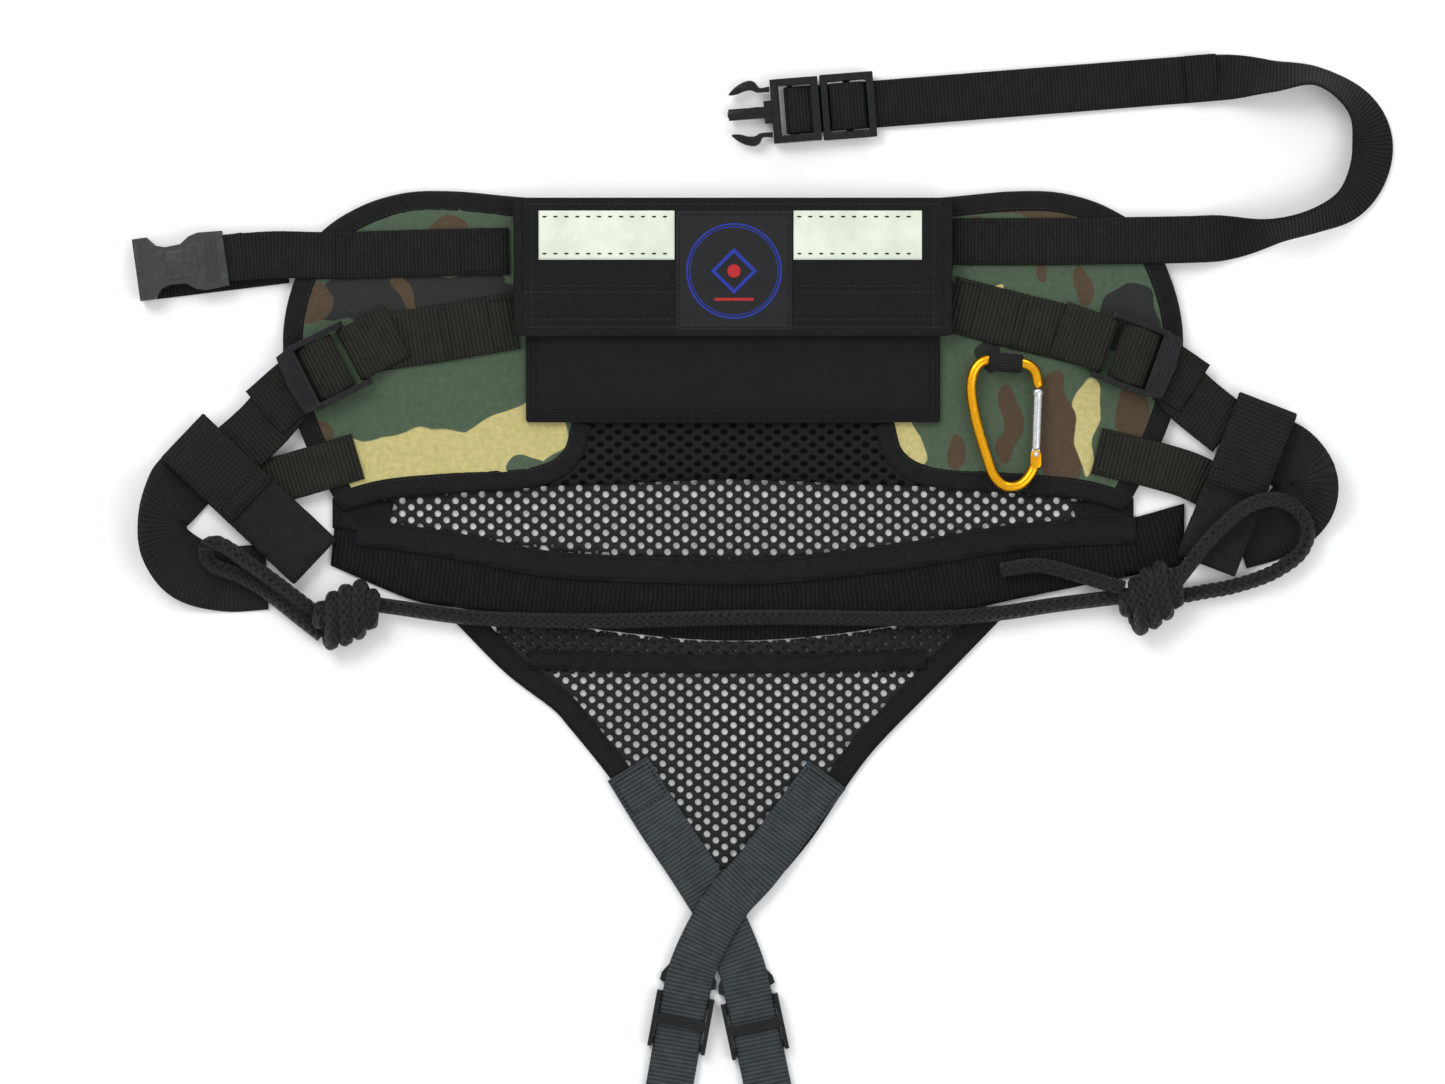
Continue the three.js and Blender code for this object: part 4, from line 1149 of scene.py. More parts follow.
def pocket_bag():
    """The pocket as one bag: back, sides and slack front, open at the mouth."""
    half = POCKET_W / 2
    face = POCKET_Z + POCKET_DEEP

    def front_top(x, y):
        fold = noise.noise(Vector((x * 0.018, y * 0.05, 7))) * 0.9
        fold = fold + noise.noise(Vector((x * 0.06, y * 0.02, 2))) * 0.4
        droop = 1.2 * math.exp(-((y - POCKET_MOUTH) / 12) ** 2)
        slack = pocket_sag(x, y)
        return POCKET_Z + 2.4 + (face - POCKET_Z - 2.9 - droop) * slack + fold * slack * 0.5

    front = cloth(
        "pocket_front", corner_box(-half, half, POCKET_BOTTOM, POCKET_MOUTH), front_top, 0.8, NYLON, cell=4,
    )
    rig.replaces(front, "pocket_body")
    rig.slot(front, "pocket_nylon")
    size = [POCKET_W * MM, (POCKET_MOUTH - POCKET_BOTTOM) * MM]
    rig.sheet(front, size, "stretched", rests_on=["pocket_back"])

    def back_top(x, y):
        return POCKET_Z + 0.8 + 0.1 * noise.noise(Vector((x * 0.03, y * 0.03, 0)))

    outline = corner_box(-half, half, POCKET_BOTTOM, POCKET_TOP)
    back = cloth("pocket_back", outline, back_top, 0.7, NYLON, cell=8)
    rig.slot(back, "pocket_nylon")
    size = [POCKET_W * MM, (POCKET_TOP - POCKET_BOTTOM) * MM]
    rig.sheet(back, size, "stretched", rests_on=["back_pad_foam"])

    seam_edge = corner_box(-FLAP_W / 2, FLAP_W / 2, POCKET_TOP - 1, FLAP_HINGE_Y + 1, 6)
    seam = rounded_slab("pocket_top_seam", seam_edge, POCKET_Z, FLAP_Z - SEAM_GAP, NYLON, "belt", 0.5)
    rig.slot(seam, "pocket_nylon")

    hem = POCKET_BOTTOM + 3
    low = POCKET_Z + 2.6
    rows = []
    for inset in (2.2, 5.0):
        corner = half - inset
        bottom = POCKET_BOTTOM + inset
        line = [(-corner, POCKET_MOUTH - 4), (-corner, bottom), (corner, bottom), (corner, POCKET_MOUTH - 4)]
        path = even([[x, y, 0] for x, y in line], 2)
        rows.append([(x, y, front_top(x, y) + 0.12) for x, y, _ in path])
    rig.slot(stitches("pocket_seam_stitches", rows, THREAD), "pocket_nylon")
    for side in (-1, 1):
        x = side * (half - 1.4)
        edge = webbing(
            f"pocket_side_tape_{'left' if side < 0 else 'right'}",
            [[x, POCKET_BOTTOM + 1, low - 0.6], [x, 30, low - 0.4], [x, POCKET_MOUTH, low - 0.4]],
            3.6, TAPE_CLOTH, thickness=1.0,
        )
        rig.slot(edge, "binding_tape")
    line = [[x, hem - 1.2, low - 0.5] for x in (-half + 1, 0, half - 1)]
    lip = webbing("pocket_foot_tape", line, 3.6, TAPE_CLOTH, thickness=1.0)
    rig.slot(lip, "binding_tape")
    y = POCKET_MOUTH - 1
    mouth = [(x, y, front_top(x, y) - 0.2) for x in np.linspace(-half + 1, half - 1, 60)]
    mouth_hem = webbing("pocket_mouth_hem", mouth[::6] + [mouth[-1]], 6, TAPE_CLOTH, thickness=1.0)
    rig.slot(mouth_hem, "binding_tape")


def flap_top(x, y):
    """The flap lies on the pocket, a little wavy along its free edge and padded where it is stitched down."""
    free = min(max((FLAP_HINGE_Y - y) / (FLAP_HINGE_Y - FLAP_BOTTOM), 0), 1)
    wave = noise.noise(Vector((x * 0.02, y * 0.01, 11))) * 0.9 * free
    side = 0.7 * max(0.0, (abs(x) / (FLAP_W / 2)) ** 10)
    grooves = sum(0.35 * math.exp(-((y - row) / 1.3) ** 2) for row in FLAP_ROWS)
    return FLAP_FACE - 0.1 + wave * 0.5 - side * free - grooves


FLAP_ROWS = [38.5, 42.5, 57, 60, 103.5]


def flap():
    outline = corner_box(-FLAP_W / 2, FLAP_W / 2, FLAP_BOTTOM, FLAP_HINGE_Y, 3)
    panel = cloth("flap_cloth", outline, flap_top, 1.0, NYLON, "flap", cell=2.5)
    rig.replaces(panel, "pocket_flap")
    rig.slot(panel, "pocket_nylon")
    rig.sheet(panel, [FLAP_W * MM, (FLAP_HINGE_Y - FLAP_BOTTOM) * MM], "laid", rests_on=["pocket_front"])

    half = FLAP_W / 2
    rows = [[(x, y, flap_top(x, y) + 0.22) for x in np.linspace(-half + 4, half - 4, 90)] for y in FLAP_ROWS]
    for side in (-1, 1):
        for inset in (3.0, 8.5):
            x = side * (half - inset)
            run = np.linspace(FLAP_BOTTOM + 3, FLAP_HINGE_Y - 2, 40)
            rows.append([(x, y, flap_top(x, y) + 0.1) for y in run])
    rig.slot(stitches("flap_stitches", rows, PALE_THREAD, "flap"), "pocket_nylon")
    for side in (-1, 1):
        x = side * (half - 1.2)
        name = "left" if side < 0 else "right"
        line = [[x, y, flap_top(x, y) - 0.15] for y in np.linspace(FLAP_BOTTOM + 0.5, FLAP_HINGE_Y - 0.5, 9)]
        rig.slot(webbing(f"flap_side_hem_{name}", line, 5, TAPE_CLOTH, "flap", thickness=1.3), "binding_tape")
    y = FLAP_BOTTOM + 2
    line = [[x, y, flap_top(x, y) - 0.1] for x in np.linspace(-half + 1, half - 1, 16)]
    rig.slot(webbing("flap_foot_hem", line, 5, NYLON, "flap", thickness=1.3), "pocket_nylon")

    for side in ("left", "right"):
        node = f"reflective_strip_{side}"
        low, high = (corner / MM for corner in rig.box(node))

        def face(x, y):
            return flap_top(x, y) + 0.5 + 0.1 * noise.noise(Vector((x * 0.1, y * 0.1, 3)))

        outline = corner_box(low.x, high.x, low.y, high.y, 3)
        strip = cloth(f"{node}_tape", outline, face, 0.35, SILVER_TAPE, "flap", cell=3)
        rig.replaces(strip, node)
        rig.slot(strip, "reflective_tape")
        inset = 3.2
        rows = []
        for y in (high.y - inset, low.y + inset):
            rows.append([(x, y, face(x, y) + 0.1) for x in np.linspace(low.x + 1.5, high.x - 1.5, 30)])
        sewn = stitches(f"{node}_stitches", rows, THREAD, "flap", pitch=5.8, stitch=2.4, thread=0.9)
        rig.slot(sewn, "reflective_tape")

    low, high = (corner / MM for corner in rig.box("emblem_patch"))

    def patch_face(x, y):
        edge = min(x - low.x, high.x - x, y - low.y, high.y - y)
        return flap_top(x, y) + 0.35 + 0.5 * min(edge / 1.5, 1)

    outline = corner_box(low.x, high.x, low.y, high.y, 2)
    patch = cloth("emblem_patch_cloth", outline, patch_face, 0.6, EMBLEM_CLOTH, "flap", cell=2)
    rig.replaces(patch, "emblem_patch")
    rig.slot(patch, "emblem_print")
    inset = 2.0
    x0, x1, y0, y1 = low.x + inset, high.x - inset, low.y + inset, high.y - inset
    line = [(x0, y1), (x1, y1), (x1, y0), (x0, y0), (x0, y1)]
    path = even([[x, y, 0] for x, y in line], 2)
    rows = [[(x, y, patch_face(x, y) + 0.08) for x, y, _ in path]]
    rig.slot(stitches("emblem_patch_stitches", rows, THREAD, "flap"), "emblem_print")


def closure_strips():
    """Gives the hook strip under the flap and the loop strip on the pocket their tufted look."""
    for node in ("loop_strip", "hook_strip"):
        frame["nodes"][node].data.materials.clear()
        frame["nodes"][node].data.materials.append(HOOK_CLOTH)


pocket_bag()
flap()
closure_strips()


# ---- see-through seat -----------------------------------------------------------------------------
MESH_Z = 0.8
MESH_TOP = 1.25
MESH_LAP = 4  # how far the mesh runs in under what it is sewn to
HOLE = 3.5
SEAT_TOP = [
    [-212, -67], [-165, -73], [-105, -80], [-50, -86], [14, -88],
    [80, -83], [150, -71], [206, -64], [240, -55],
]
SEAT_FOOT = [
    [-214, -88], [-168, -107], [-143, -111], [-80, -121], [0, -128], [80, -121], [150, -106], [240, -88],
]
SEAT_BAND = [[-199, -63], [-150, -70], [-98, -80], [-43, -83], [14, -84], [89, -76], [150, -66], [214, -62]]
PANEL_FOOT = [[-204, -59.6], [-184, -54], [-140, -50], [-100, -46], [0, -42.6]]
TRI_LEFT = [[-147, -119], [-120, -146], [-94, -166], [-88, -173], [-64, -203], [-45, -233], [-28, -262]]
TRI_RIGHT = [[142, -117], [108, -152], [75, -186], [62, -203], [42, -233], [18, -262]]
TRIANGLE_TOP = -128
SECOND_LAYER_FOOT = -146
TAPE_TIP = -250
EDGE_TAPE = 12
SEAT_CORNER = [[213, -52], [213, -68], [184, -71], [180, -54]]  # tape from the panel down to the seat webbing


def open_mesh(name, outline, height, material, body="belt", thickness=0.5, shift=(0.0, 0.0)):
    """Knitted mesh with real holes: one six-sided cell round each hole, its rim kept inside the outline."""
    outline = np.array(outline, float)[:, :2]
    low, high = outline.min(axis=0), outline.max(axis=0)
    corners = [(HOLE_STEP_X / 3, 0), (HOLE_STEP_X / 6, HOLE_STEP_Y / 2), (-HOLE_STEP_X / 6, HOLE_STEP_Y / 2)]
    corners += [(-x, -y) for x, y in corners]
    flat, cells, seen = [], [], {}

    def vertex(x, y):
        key = (round(x, 2), round(y, 2))
        if key not in seen:
            seen[key] = len(flat)
            flat.append((x, y))
        return seen[key]

    sides = 12
    rows = int((high[1] - low[1]) / (HOLE_STEP_Y / 2)) + 2
    columns = int((high[0] - low[0]) / HOLE_STEP_X) + 2
    for row in range(-1, rows):
        for column in range(-1, columns):
            x = low[0] + shift[0] + (column + (row % 2) * 0.5) * HOLE_STEP_X
            y = low[1] + shift[1] + row * HOLE_STEP_Y / 2
            edge = []
            for k in range(6):
                (ax, ay), (bx, by) = corners[k], corners[(k + 1) % 6]
                edge += [(x + ax, y + ay), (x + (ax + bx) / 2, y + (ay + by) / 2)]
            held = [inside(outline, px, py) for px, py in edge]
            if not any(held) or not inside(outline, x, y):
                continue
            edge = [p if ok else nearest(outline, p) for p, ok in zip(edge, held)]
            size = HOLE / 2 * (1 if all(held) else 0.45)
            first = math.atan2(corners[0][1], corners[0][0])
            turned = [first + 2 * math.pi * k / sides for k in range(sides)]
            ring = [(x + size * math.cos(a), y + size * math.sin(a)) for a in turned]
            cells.append(([vertex(*p) for p in edge], [vertex(*p) for p in ring]))
    count = len(flat)
    top = [(x, y, height(x, y)) for x, y in flat]
    points = top + [(x, y, z - thickness) for x, y, z in top]
    faces, used = [], {}
    for edge, ring in cells:
        for k in range(sides):
            a, b, c, d = edge[k], edge[(k + 1) % sides], ring[(k + 1) % sides], ring[k]
            used[(a, b)] = used.get((a, b), 0) + 1
            faces += [(a, b, c, d), (d + count, c + count, b + count, a + count)]
            faces.append((d, c, c + count, d + count))
    for a, b in used:
        if (b, a) not in used:
            faces.append((b, a, a + count, b + count))
    return outward(piece(name, points, faces, material, body))


def nearest(outline, point):
    """The closest point on a closed outline."""
    a = outline
    run = np.roll(outline, -1, axis=0) - a
    share = np.sum((np.array(point) - a) * run, axis=1) / np.maximum(np.sum(run * run, axis=1), 1e-9)
    spots = a + run * np.clip(share, 0, 1)[:, None]
    best = spots[np.argmin(np.linalg.norm(spots - np.array(point), axis=1))]
    return float(best[0]), float(best[1])


def band_between(name, upper, lower, height, thickness, material, cell=4):
    """Cloth between two lines, each given left to right."""
    outline = [tuple(p[:2]) for p in upper] + [tuple(p[:2]) for p in lower[::-1]]
    obj = cloth(name, outline, height, thickness, material, cell=cell)
    return obj


def follow(obj, line):
    """Sets a flat strip's weave to run along a line: first along it, then across."""
    path = even([[*p[:2], 0] for p in line], 1.0)[:, :2]
    along = lengths(np.column_stack([path, np.zeros(len(path))]))
    layer = obj.data.uv_layers["weave"]
    places = [v.co for v in obj.data.vertices]
    uvs = []
    for place in places:
        off = path - np.array((place.x, place.y)) / MM
        gaps = np.linalg.norm(off, axis=1)
        i = int(gaps.argmin())
        uvs.append((along[i] * MM, gaps[i] * MM))
    for loop in obj.data.loops:
        layer.data[loop.index].uv = uvs[loop.vertex_index]
    return obj


def seat():
    top = flat_spline(SEAT_TOP, 4)
    foot = flat_spline(SEAT_FOOT, 4)
    edge = [tuple(p) for p in beside(top, GAP + 0.2) if abs(p[0]) < 200]
    half = flat_spline(PANEL_FOOT, 4)
    panel = [(x, y + MESH_LAP) for x, y in half + mirrored(half)[1:]]
    outline = edge + panel[::-1]
    rim = np.array(outline)

    def rumple(x, y):
        ridge = math.sin(y * 0.55 + 5 * noise.noise(Vector((x * 0.012, 0, 5))))
        return MESH_TOP + (0.5 + 0.5 * ridge) * max(0.0, 1 - (x / 190) ** 2) * taper(x, y, rim, 9)

    upper = open_mesh("seat_mesh_upper_knit", outline, rumple, MESH_YARN)
    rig.replaces(upper, "seat_mesh_upper")
    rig.slot(upper, "open_mesh")
    low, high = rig.box("seat_mesh_upper")
    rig.sheet(upper, [high.x - low.x, high.y - low.y], "gathered", rests_on=["floor"], area=area_of(outline))

    def strap_top(x, y):
        return 0.3 + WEB + 0.18 * noise.noise(Vector((x * 0.02, y * 0.06, 3)))

    strap = band_between("seat_webbing_strip", top, foot, strap_top, WEB, SEAT_WEBBING)
    follow(strap, top)
    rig.replaces(strap, "seat_webbing")
    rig.slot(strap, "webbing")
    for name, line, inset in [("top", top, -2.2), ("foot", foot, 2.2)]:
        row = [(x, y, strap_top(x, y) + 0.1) for x, y in beside(line, inset)]
        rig.slot(stitches(f"seat_webbing_{name}_stitches", [row], THREAD), "webbing")

    for side, turn in SIDES.items():
        name = f"seat_corner_tape_{side}"
        corner = cloth(name, turn(SEAT_CORNER), lambda x, y: 2.2, 0.7, TAPE_CLOTH, cell=4)
        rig.slot(corner, "binding_tape")

    band = flat_spline(SEAT_BAND, 4)
    band_foot = [tuple(p) for p in beside(band, -14)]

    def band_top(x, y):
        return 0.3 + WEB + GAP + 1 + 0.25 * noise.noise(Vector((x * 0.03, y * 0.08, 9)))

    strip = band_between("seat_band_tape", band, band_foot, band_top, 0.9, TAPE_CLOTH)
    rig.replaces(strip, "seat_band")
    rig.slot(strip, "binding_tape")
    rows = [[(x, y, band_top(x, y) + 0.1) for x, y in beside(band, -inset)] for inset in (1.8, 12.2)]
    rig.slot(stitches("seat_band_stitches", rows, THREAD), "binding_tape")


def triangle():
    left = flat_spline(TRI_LEFT, 4)
    right = flat_spline(TRI_RIGHT, 4)
    foot = flat_spline(SEAT_FOOT, 4)
    outer = {"left": left, "right": right}
    turn = {"left": 1, "right": -1}
    inset = EDGE_TAPE - MESH_LAP
    inner = {side: [tuple(p) for p in beside(outer[side], turn[side] * inset)] for side in outer}
    top = [tuple(p) for p in beside(foot, -GAP - 0.2) if abs(p[0]) < 130]
    down = [p for p in inner["right"] if p[1] < TRIANGLE_TOP]
    up = [p for p in inner["left"] if p[1] < TRIANGLE_TOP][::-1]
    outline = top + down + up
    rim = np.array(outline)

    def slack(x, y):
        wave = noise.noise(Vector((x * 0.016, y * 0.02, 2)))
        wave = wave + 0.5 * noise.noise(Vector((x * 0.05, y * 0.04, 8)))
        return MESH_TOP + (0.3 + 0.6 * wave) * taper(x, y, rim, 12)

    lower = open_mesh("seat_mesh_lower_knit", outline, slack, MESH_YARN)
    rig.replaces(lower, "seat_mesh_lower")
    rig.slot(lower, "open_mesh")
    low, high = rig.box("seat_mesh_lower")
    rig.sheet(lower, [high.x - low.x, high.y - low.y], "laid", rests_on=["floor"], area=area_of(outline))

    hem = top + [p for p in down + up if p[1] > SECOND_LAYER_FOOT]
    shift = (HOLE_STEP_X / 4, 1.9)
    double = open_mesh("triangle_second_layer", hem, lambda x, y: 0.6, MESH_YARN, shift=shift)
    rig.slot(double, "open_mesh")
    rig.sheet(double, [0.25, 0.032], "laid", rests_on=["floor"], area=area_of(hem))

    for side in outer:
        inner_line = [p for p in beside(outer[side], turn[side] * EDGE_TAPE) if p[1] > TAPE_TIP + 1]
        outer_line = [p for p in outer[side] if p[1] > TAPE_TIP]
        height = tape_height(side)
        tape = band_between(f"triangle_tape_{side}", outer_line, inner_line, height, 2.0, TAPE_CLOTH, cell=3)
        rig.replaces(tape, f"triangle_binding_{side}")
        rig.slot(tape, "binding_tape")
        rows = []
        for inset in (1.6, EDGE_TAPE - 1.8):
            row = beside(outer[side], turn[side] * inset)
            rows.append([(x, y, height(x, y) + 0.1) for x, y in row if y > TAPE_TIP + 1])
        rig.slot(stitches(f"triangle_tape_stitches_{side}", rows, THREAD), "binding_tape")

    band = flat_spline([[-108, -133], [0, -135.5], [102, -133]], 4)

    def band_top(x, y):
        return MESH_Z + CLOTH + GAP + 0.9 + 0.2 * noise.noise(Vector((x * 0.05, y * 0.1, 1)))

    band_foot = [tuple(p) for p in beside(band, -10)]
    strip = band_between("triangle_band_tape", band, band_foot, band_top, 0.7, TAPE_CLOTH)
    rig.replaces(strip, "triangle_band")
    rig.slot(strip, "binding_tape")
    rows = [[(x, y, band_top(x, y) + 0.1) for x, y in beside(band, -inset)] for inset in (1.5, 8.5)]
    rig.slot(stitches("triangle_band_stitches", rows, THREAD), "binding_tape")


def tape_height(side):
    """Height of the folded tape along one edge of the triangle, puckered by its seam."""
    seed = 1 if side == "left" else 6
    return lambda x, y: 2.05 + 0.25 * noise.noise(Vector((x * 0.09, y * 0.09, seed)))


seat()
triangle()


# ---- straps ---------------------------------------------------------------------------------------
FOLD = 2.7  # radius of a strap's middle line where it turns round a bar
HALF_TURN = (-90, -45, 0, 45, 90)
STRAP_Z = ON_WING + WEB / 2
THREAD_LIFT = 0.1  # stitches' middle above a smooth strap's face
COARSE_THREAD_LIFT = 0.12
LOOP_TOP = 8.4
FOLD_TOP = 10.3
FEMALE = {"at": (-293, 72), "angle": 8, "bar_x": 19, "bar_z": 5.6}
FRONT = {"at": (33.5, 154), "angle": 4.5, "bar_x": -2.5, "bar_z": 4}
TAIL_END = 225
TAIL_Z = 3.1
HEM = 17
SLIDER_BAR_X = -18
SLIDER_BAR_Z = STRAP_Z + FOLD
SLIDERS = {
    "left": {
        "at": (-217, 16.5), "angle": 207, "sewn": (-115, 42), "end": (-250, -14), "keeper": (-268, -30),
        "tail": (-249, -7),
    },
    "right": {
        "at": (214, 23), "angle": -20, "sewn": (115, 51), "end": (243, 1), "keeper": (264, -16),
        "tail": (245, 6),
    },
}
LOOP_LOW = 4.6
HIPS = {
    "left": {
        "far": (-290, -21.5), "near": (-222, -86),
        "tab": [[-199, -30, STRAP_Z], [-226, -38, STRAP_Z], [-240, -42, 4.4], [-250, -45, 2.8]],
        "curl": [
            (-284, -36, 0), (-294, -46, -10), (-302, -61, -44), (-301, -77, -40), (-289, -90, -12),
            (-270, -95, 0), (-248, -94, 0),
        ],
    },
    "right": {
        "far": (283, -5), "near": (251, -88),
        "tab": [[193, -27, STRAP_Z], [229, -36, STRAP_Z], [242, -40, 4.4], [253, -45, 2.8]],
        "curl": [(283, -24, 0), (295, -30, 6), (305, -42, 30), (303, -54, 14), (292, -65, 0), (268, -73, 0)],
    },
}
LEG_LOW_Z = 3.6
LEG_STRAPS = {
    "left": [
        [-56, -196, 3.2], [-40, -222, 3.2], [-20, -252, 3.2], [-8, -272, 3.2], [4, -300, 3.4],
        [8, -316, LEG_LOW_Z], [20, -372, LEG_LOW_Z], [30, -418, 3.4],
    ],
    "right": [
        [50, -199, 3.2], [33, -222, 3.6], [12, -250, 5.2], [-4, -268, 5.4], [-20, -298, 5],
        [-25, -316, LEG_LOW_Z], [-33, -360, LEG_LOW_Z], [-42, -412, 3.4],
    ],
}


def lying(x, y, tilt, width):
    """A station of webbing that rests on the floor on one edge, rolled by a tilt in degrees."""
    return [x, y, 0.3 + WEB / 2 + width / 2 * abs(math.sin(math.radians(tilt))), tilt]


def place(frame_, x, y=0.0):
    """A point of a turned local frame, in the belt's frame."""
    c, s = math.cos(math.radians(frame_["angle"])), math.sin(math.radians(frame_["angle"]))
    return frame_["at"][0] + x * c - y * s, frame_["at"][1] + x * s + y * c


def half_turn(frame_, bar_x, bar_z, outward_, rise=1):
    """Stations of a half turn of webbing round a bar, from below it to above it, or down with rise -1."""
    stations = []
    for degrees in HALF_TURN:
        angle = math.radians(degrees * rise)
        x = bar_x + outward_ * math.cos(angle) * FOLD
        stations.append([*place(frame_, x), bar_z + math.sin(angle) * FOLD])
    return stations


def strap(node, stations, width, material, slot="webbing", body="belt", **detail):
    """Webbing that stands for a CAD strap."""
    obj = webbing(f"{node}_woven", stations, width, material, body, **detail)
    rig.replaces(obj, node)
    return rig.slot(obj, slot)


def box_stitch(name, frame_, x0, x1, width, z, body="belt", cross=False):
    """A sewn rectangle on a strap's face, with a cross in it where the strap carries load."""
    half = width / 2 - 2.2
    line = [(x0, -half), (x1, -half), (x1, half), (x0, half), (x0, -half)]
    rows = [[(*place(frame_, x, y), z) for x, y in line]]
    if cross:
        rows.append([(*place(frame_, x0, -half), z), (*place(frame_, x1, half), z)])
        rows.append([(*place(frame_, x0, half), z), (*place(frame_, x1, -half), z)])
    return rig.slot(stitches(name, rows, THREAD, body, thread=0.6), "webbing")


def waist_straps():
    sewn = STRAP_Z + WEB / 2 + THREAD_LIFT
    run = [[-119, 79, STRAP_Z], [-160, 78, STRAP_Z], [-215, 76.6, STRAP_Z], [-245, 77, STRAP_Z + 0.4]]
    turn = half_turn(FEMALE, FEMALE["bar_x"], FEMALE["bar_z"], -1, -1)
    back = [*place(FEMALE, 34), FEMALE["bar_z"] - FOLD]
    strap("waist_strap_left", [*run, *turn, back], STRAP, WEBBING)
    box_stitch("waist_strap_left_stitches", {"at": (-121, 79), "angle": 181.5}, 1, 24, STRAP, sewn)
    box_stitch("waist_strap_left_tack", {"at": (-206, 76.8), "angle": 181.5}, 0, 5, STRAP, sewn)

    low = FRONT["bar_z"] - FOLD
    out = [
        [114, 84, STRAP_Z], [160, 84, STRAP_Z], [236, 85, STRAP_Z], [250, 85.5, 5.6],
        lying(267, 86.5, 30, STRAP), lying(288, 89.5, 60, STRAP), lying(310, 95.5, 60, STRAP),
        lying(327, 104.5, 44, STRAP), lying(337, 120, 30, STRAP), lying(339.5, 138, 26, STRAP),
        lying(332, 157, 48, STRAP), lying(310, 171.5, 64, STRAP), lying(286, 171.5, 44, STRAP),
        lying(262, 171.5, 12, STRAP),
    ]
    lower = [[*place(FRONT, x), low] for x in (205, 150, 60, 10)]
    turn = half_turn(FRONT, FRONT["bar_x"], FRONT["bar_z"], -1)
    upper = [[*place(FRONT, x), z] for x, z in [(9, 5), (15, TAIL_Z), (90, TAIL_Z), (TAIL_END - 2, TAIL_Z)]]
    hem = [
        [*place(FRONT, TAIL_END), TAIL_Z + 0.9], [*place(FRONT, TAIL_END - 2), TAIL_Z + 1.8],
        [*place(FRONT, TAIL_END - HEM), TAIL_Z + 1.8],
    ]
    strap("waist_strap_right", [*out, *lower, *turn, *upper, *hem], STRAP, WEBBING)
    box_stitch("waist_strap_right_stitches", {"at": (117, 84), "angle": 0}, 1, 24, STRAP, sewn)
    hem_z = TAIL_Z + 1.8 + WEB / 2 + THREAD_LIFT
    box_stitch("waist_tail_stitches", FRONT, TAIL_END - HEM + 3, TAIL_END - 3, STRAP, hem_z)

    under = {"at": (-275, 68.5), "angle": 7}
    ends = [[*place(under, x), 0.3 + 0.65] for x in (-38, 0, 38)]
    strap("buckle_backing", ends, 22, WEBBING, thickness=1.3)


def hip_adjuster(side):
    frame_ = SLIDERS[side]
    near = place(frame_, SLIDER_BAR_X - 9)
    sx, sy = frame_["sewn"]
    middle = [(sx + near[0]) / 2, (sy + near[1]) / 2]
    turn = half_turn(frame_, SLIDER_BAR_X, SLIDER_BAR_Z, 1)
    stations = [
        [sx, sy, STRAP_Z], [*middle, STRAP_Z], [*near, STRAP_Z], *turn,
        [*place(frame_, SLIDER_BAR_X - 16), SLIDER_BAR_Z - 0.6],
        [*place(frame_, SLIDER_BAR_X - 26), STRAP_Z + WEB + GAP],
    ]
    strap(f"diagonal_strap_{side}", stations, ADJUSTER_STRAP, COARSE_WEBBING)
    sewn_angle = math.degrees(math.atan2(near[1] - sy, near[0] - sx))
    sewn = {"at": (sx, sy), "angle": sewn_angle}
    top = STRAP_Z + WEB / 2 + COARSE_THREAD_LIFT
    box_stitch(f"diagonal_strap_{side}_stitches", sewn, 3, 14, ADJUSTER_STRAP, top)
    box_stitch(f"diagonal_strap_{side}_bar_tack", sewn, 36, 40, ADJUSTER_STRAP, top)

    start, under = place(frame_, -8), place(frame_, 12)
    line = [[*start, STRAP_Z], [*under, STRAP_Z], [*frame_["end"], STRAP_Z], [*frame_["keeper"], 6.3]]
    strap(f"hip_strap_{side}", line, ADJUSTER_STRAP, GRID_WEBBING)
    tail = [[*place(frame_, x), STRAP_Z + WEB + GAP] for x in (-2, 12)]
    tail.append([*frame_["tail"], STRAP_Z + WEB + GAP])
    strap(f"hip_tail_{side}", tail, ADJUSTER_STRAP, GRID_WEBBING)


def hip(side):
    far, near = HIPS[side]["far"], HIPS[side]["near"]
    length = math.hypot(near[0] - far[0], near[1] - far[1])
    frame_ = {"at": far, "angle": math.degrees(math.atan2(near[1] - far[1], near[0] - far[0]))}

    def at(x, z):
        return [*place(frame_, x), z]

    loop = [
        at(5, LOOP_TOP), at(40, LOOP_TOP), at(length - 14, 9.6), at(length - 3, 9.4), at(length, 7),
        at(length - 3, LOOP_LOW), at(length - 12, LOOP_LOW), at(length - 22, LOOP_LOW),
    ]
    strap(f"hip_loop_{side}", loop, LOOP_STRAP, TAPE_WEBBING, "binding_tape")
    fold = [at(47, FOLD_TOP), at(8, FOLD_TOP), at(0, 9.6), at(-3, 7.8), at(-2, 6)]
    strap(f"hip_fold_{side}", fold, LOOP_STRAP, GRID_WEBBING)
    fold_face = FOLD_TOP + WEB / 2 + THREAD_LIFT
    box_stitch(f"hip_fold_{side}_stitches", frame_, 38, 45, LOOP_STRAP, fold_face)
    strap(f"side_tab_{side}", HIPS[side]["tab"], STRAP, COARSE_WEBBING)
    (ax, ay, _), (bx, by, _) = HIPS[side]["tab"][:2]
    sewn = {"at": (ax, ay), "angle": math.degrees(math.atan2(by - ay, bx - ax))}
    tab_face = STRAP_Z + WEB / 2 + THREAD_LIFT
    box_stitch(f"side_tab_{side}_stitches", sewn, 3, 17, STRAP, tab_face)
    curled = [lying(x, y, tilt, CURL_STRAP) for x, y, tilt in HIPS[side]["curl"]]
    strap(f"seat_curl_{side}", curled, CURL_STRAP, CURL_WEBBING)


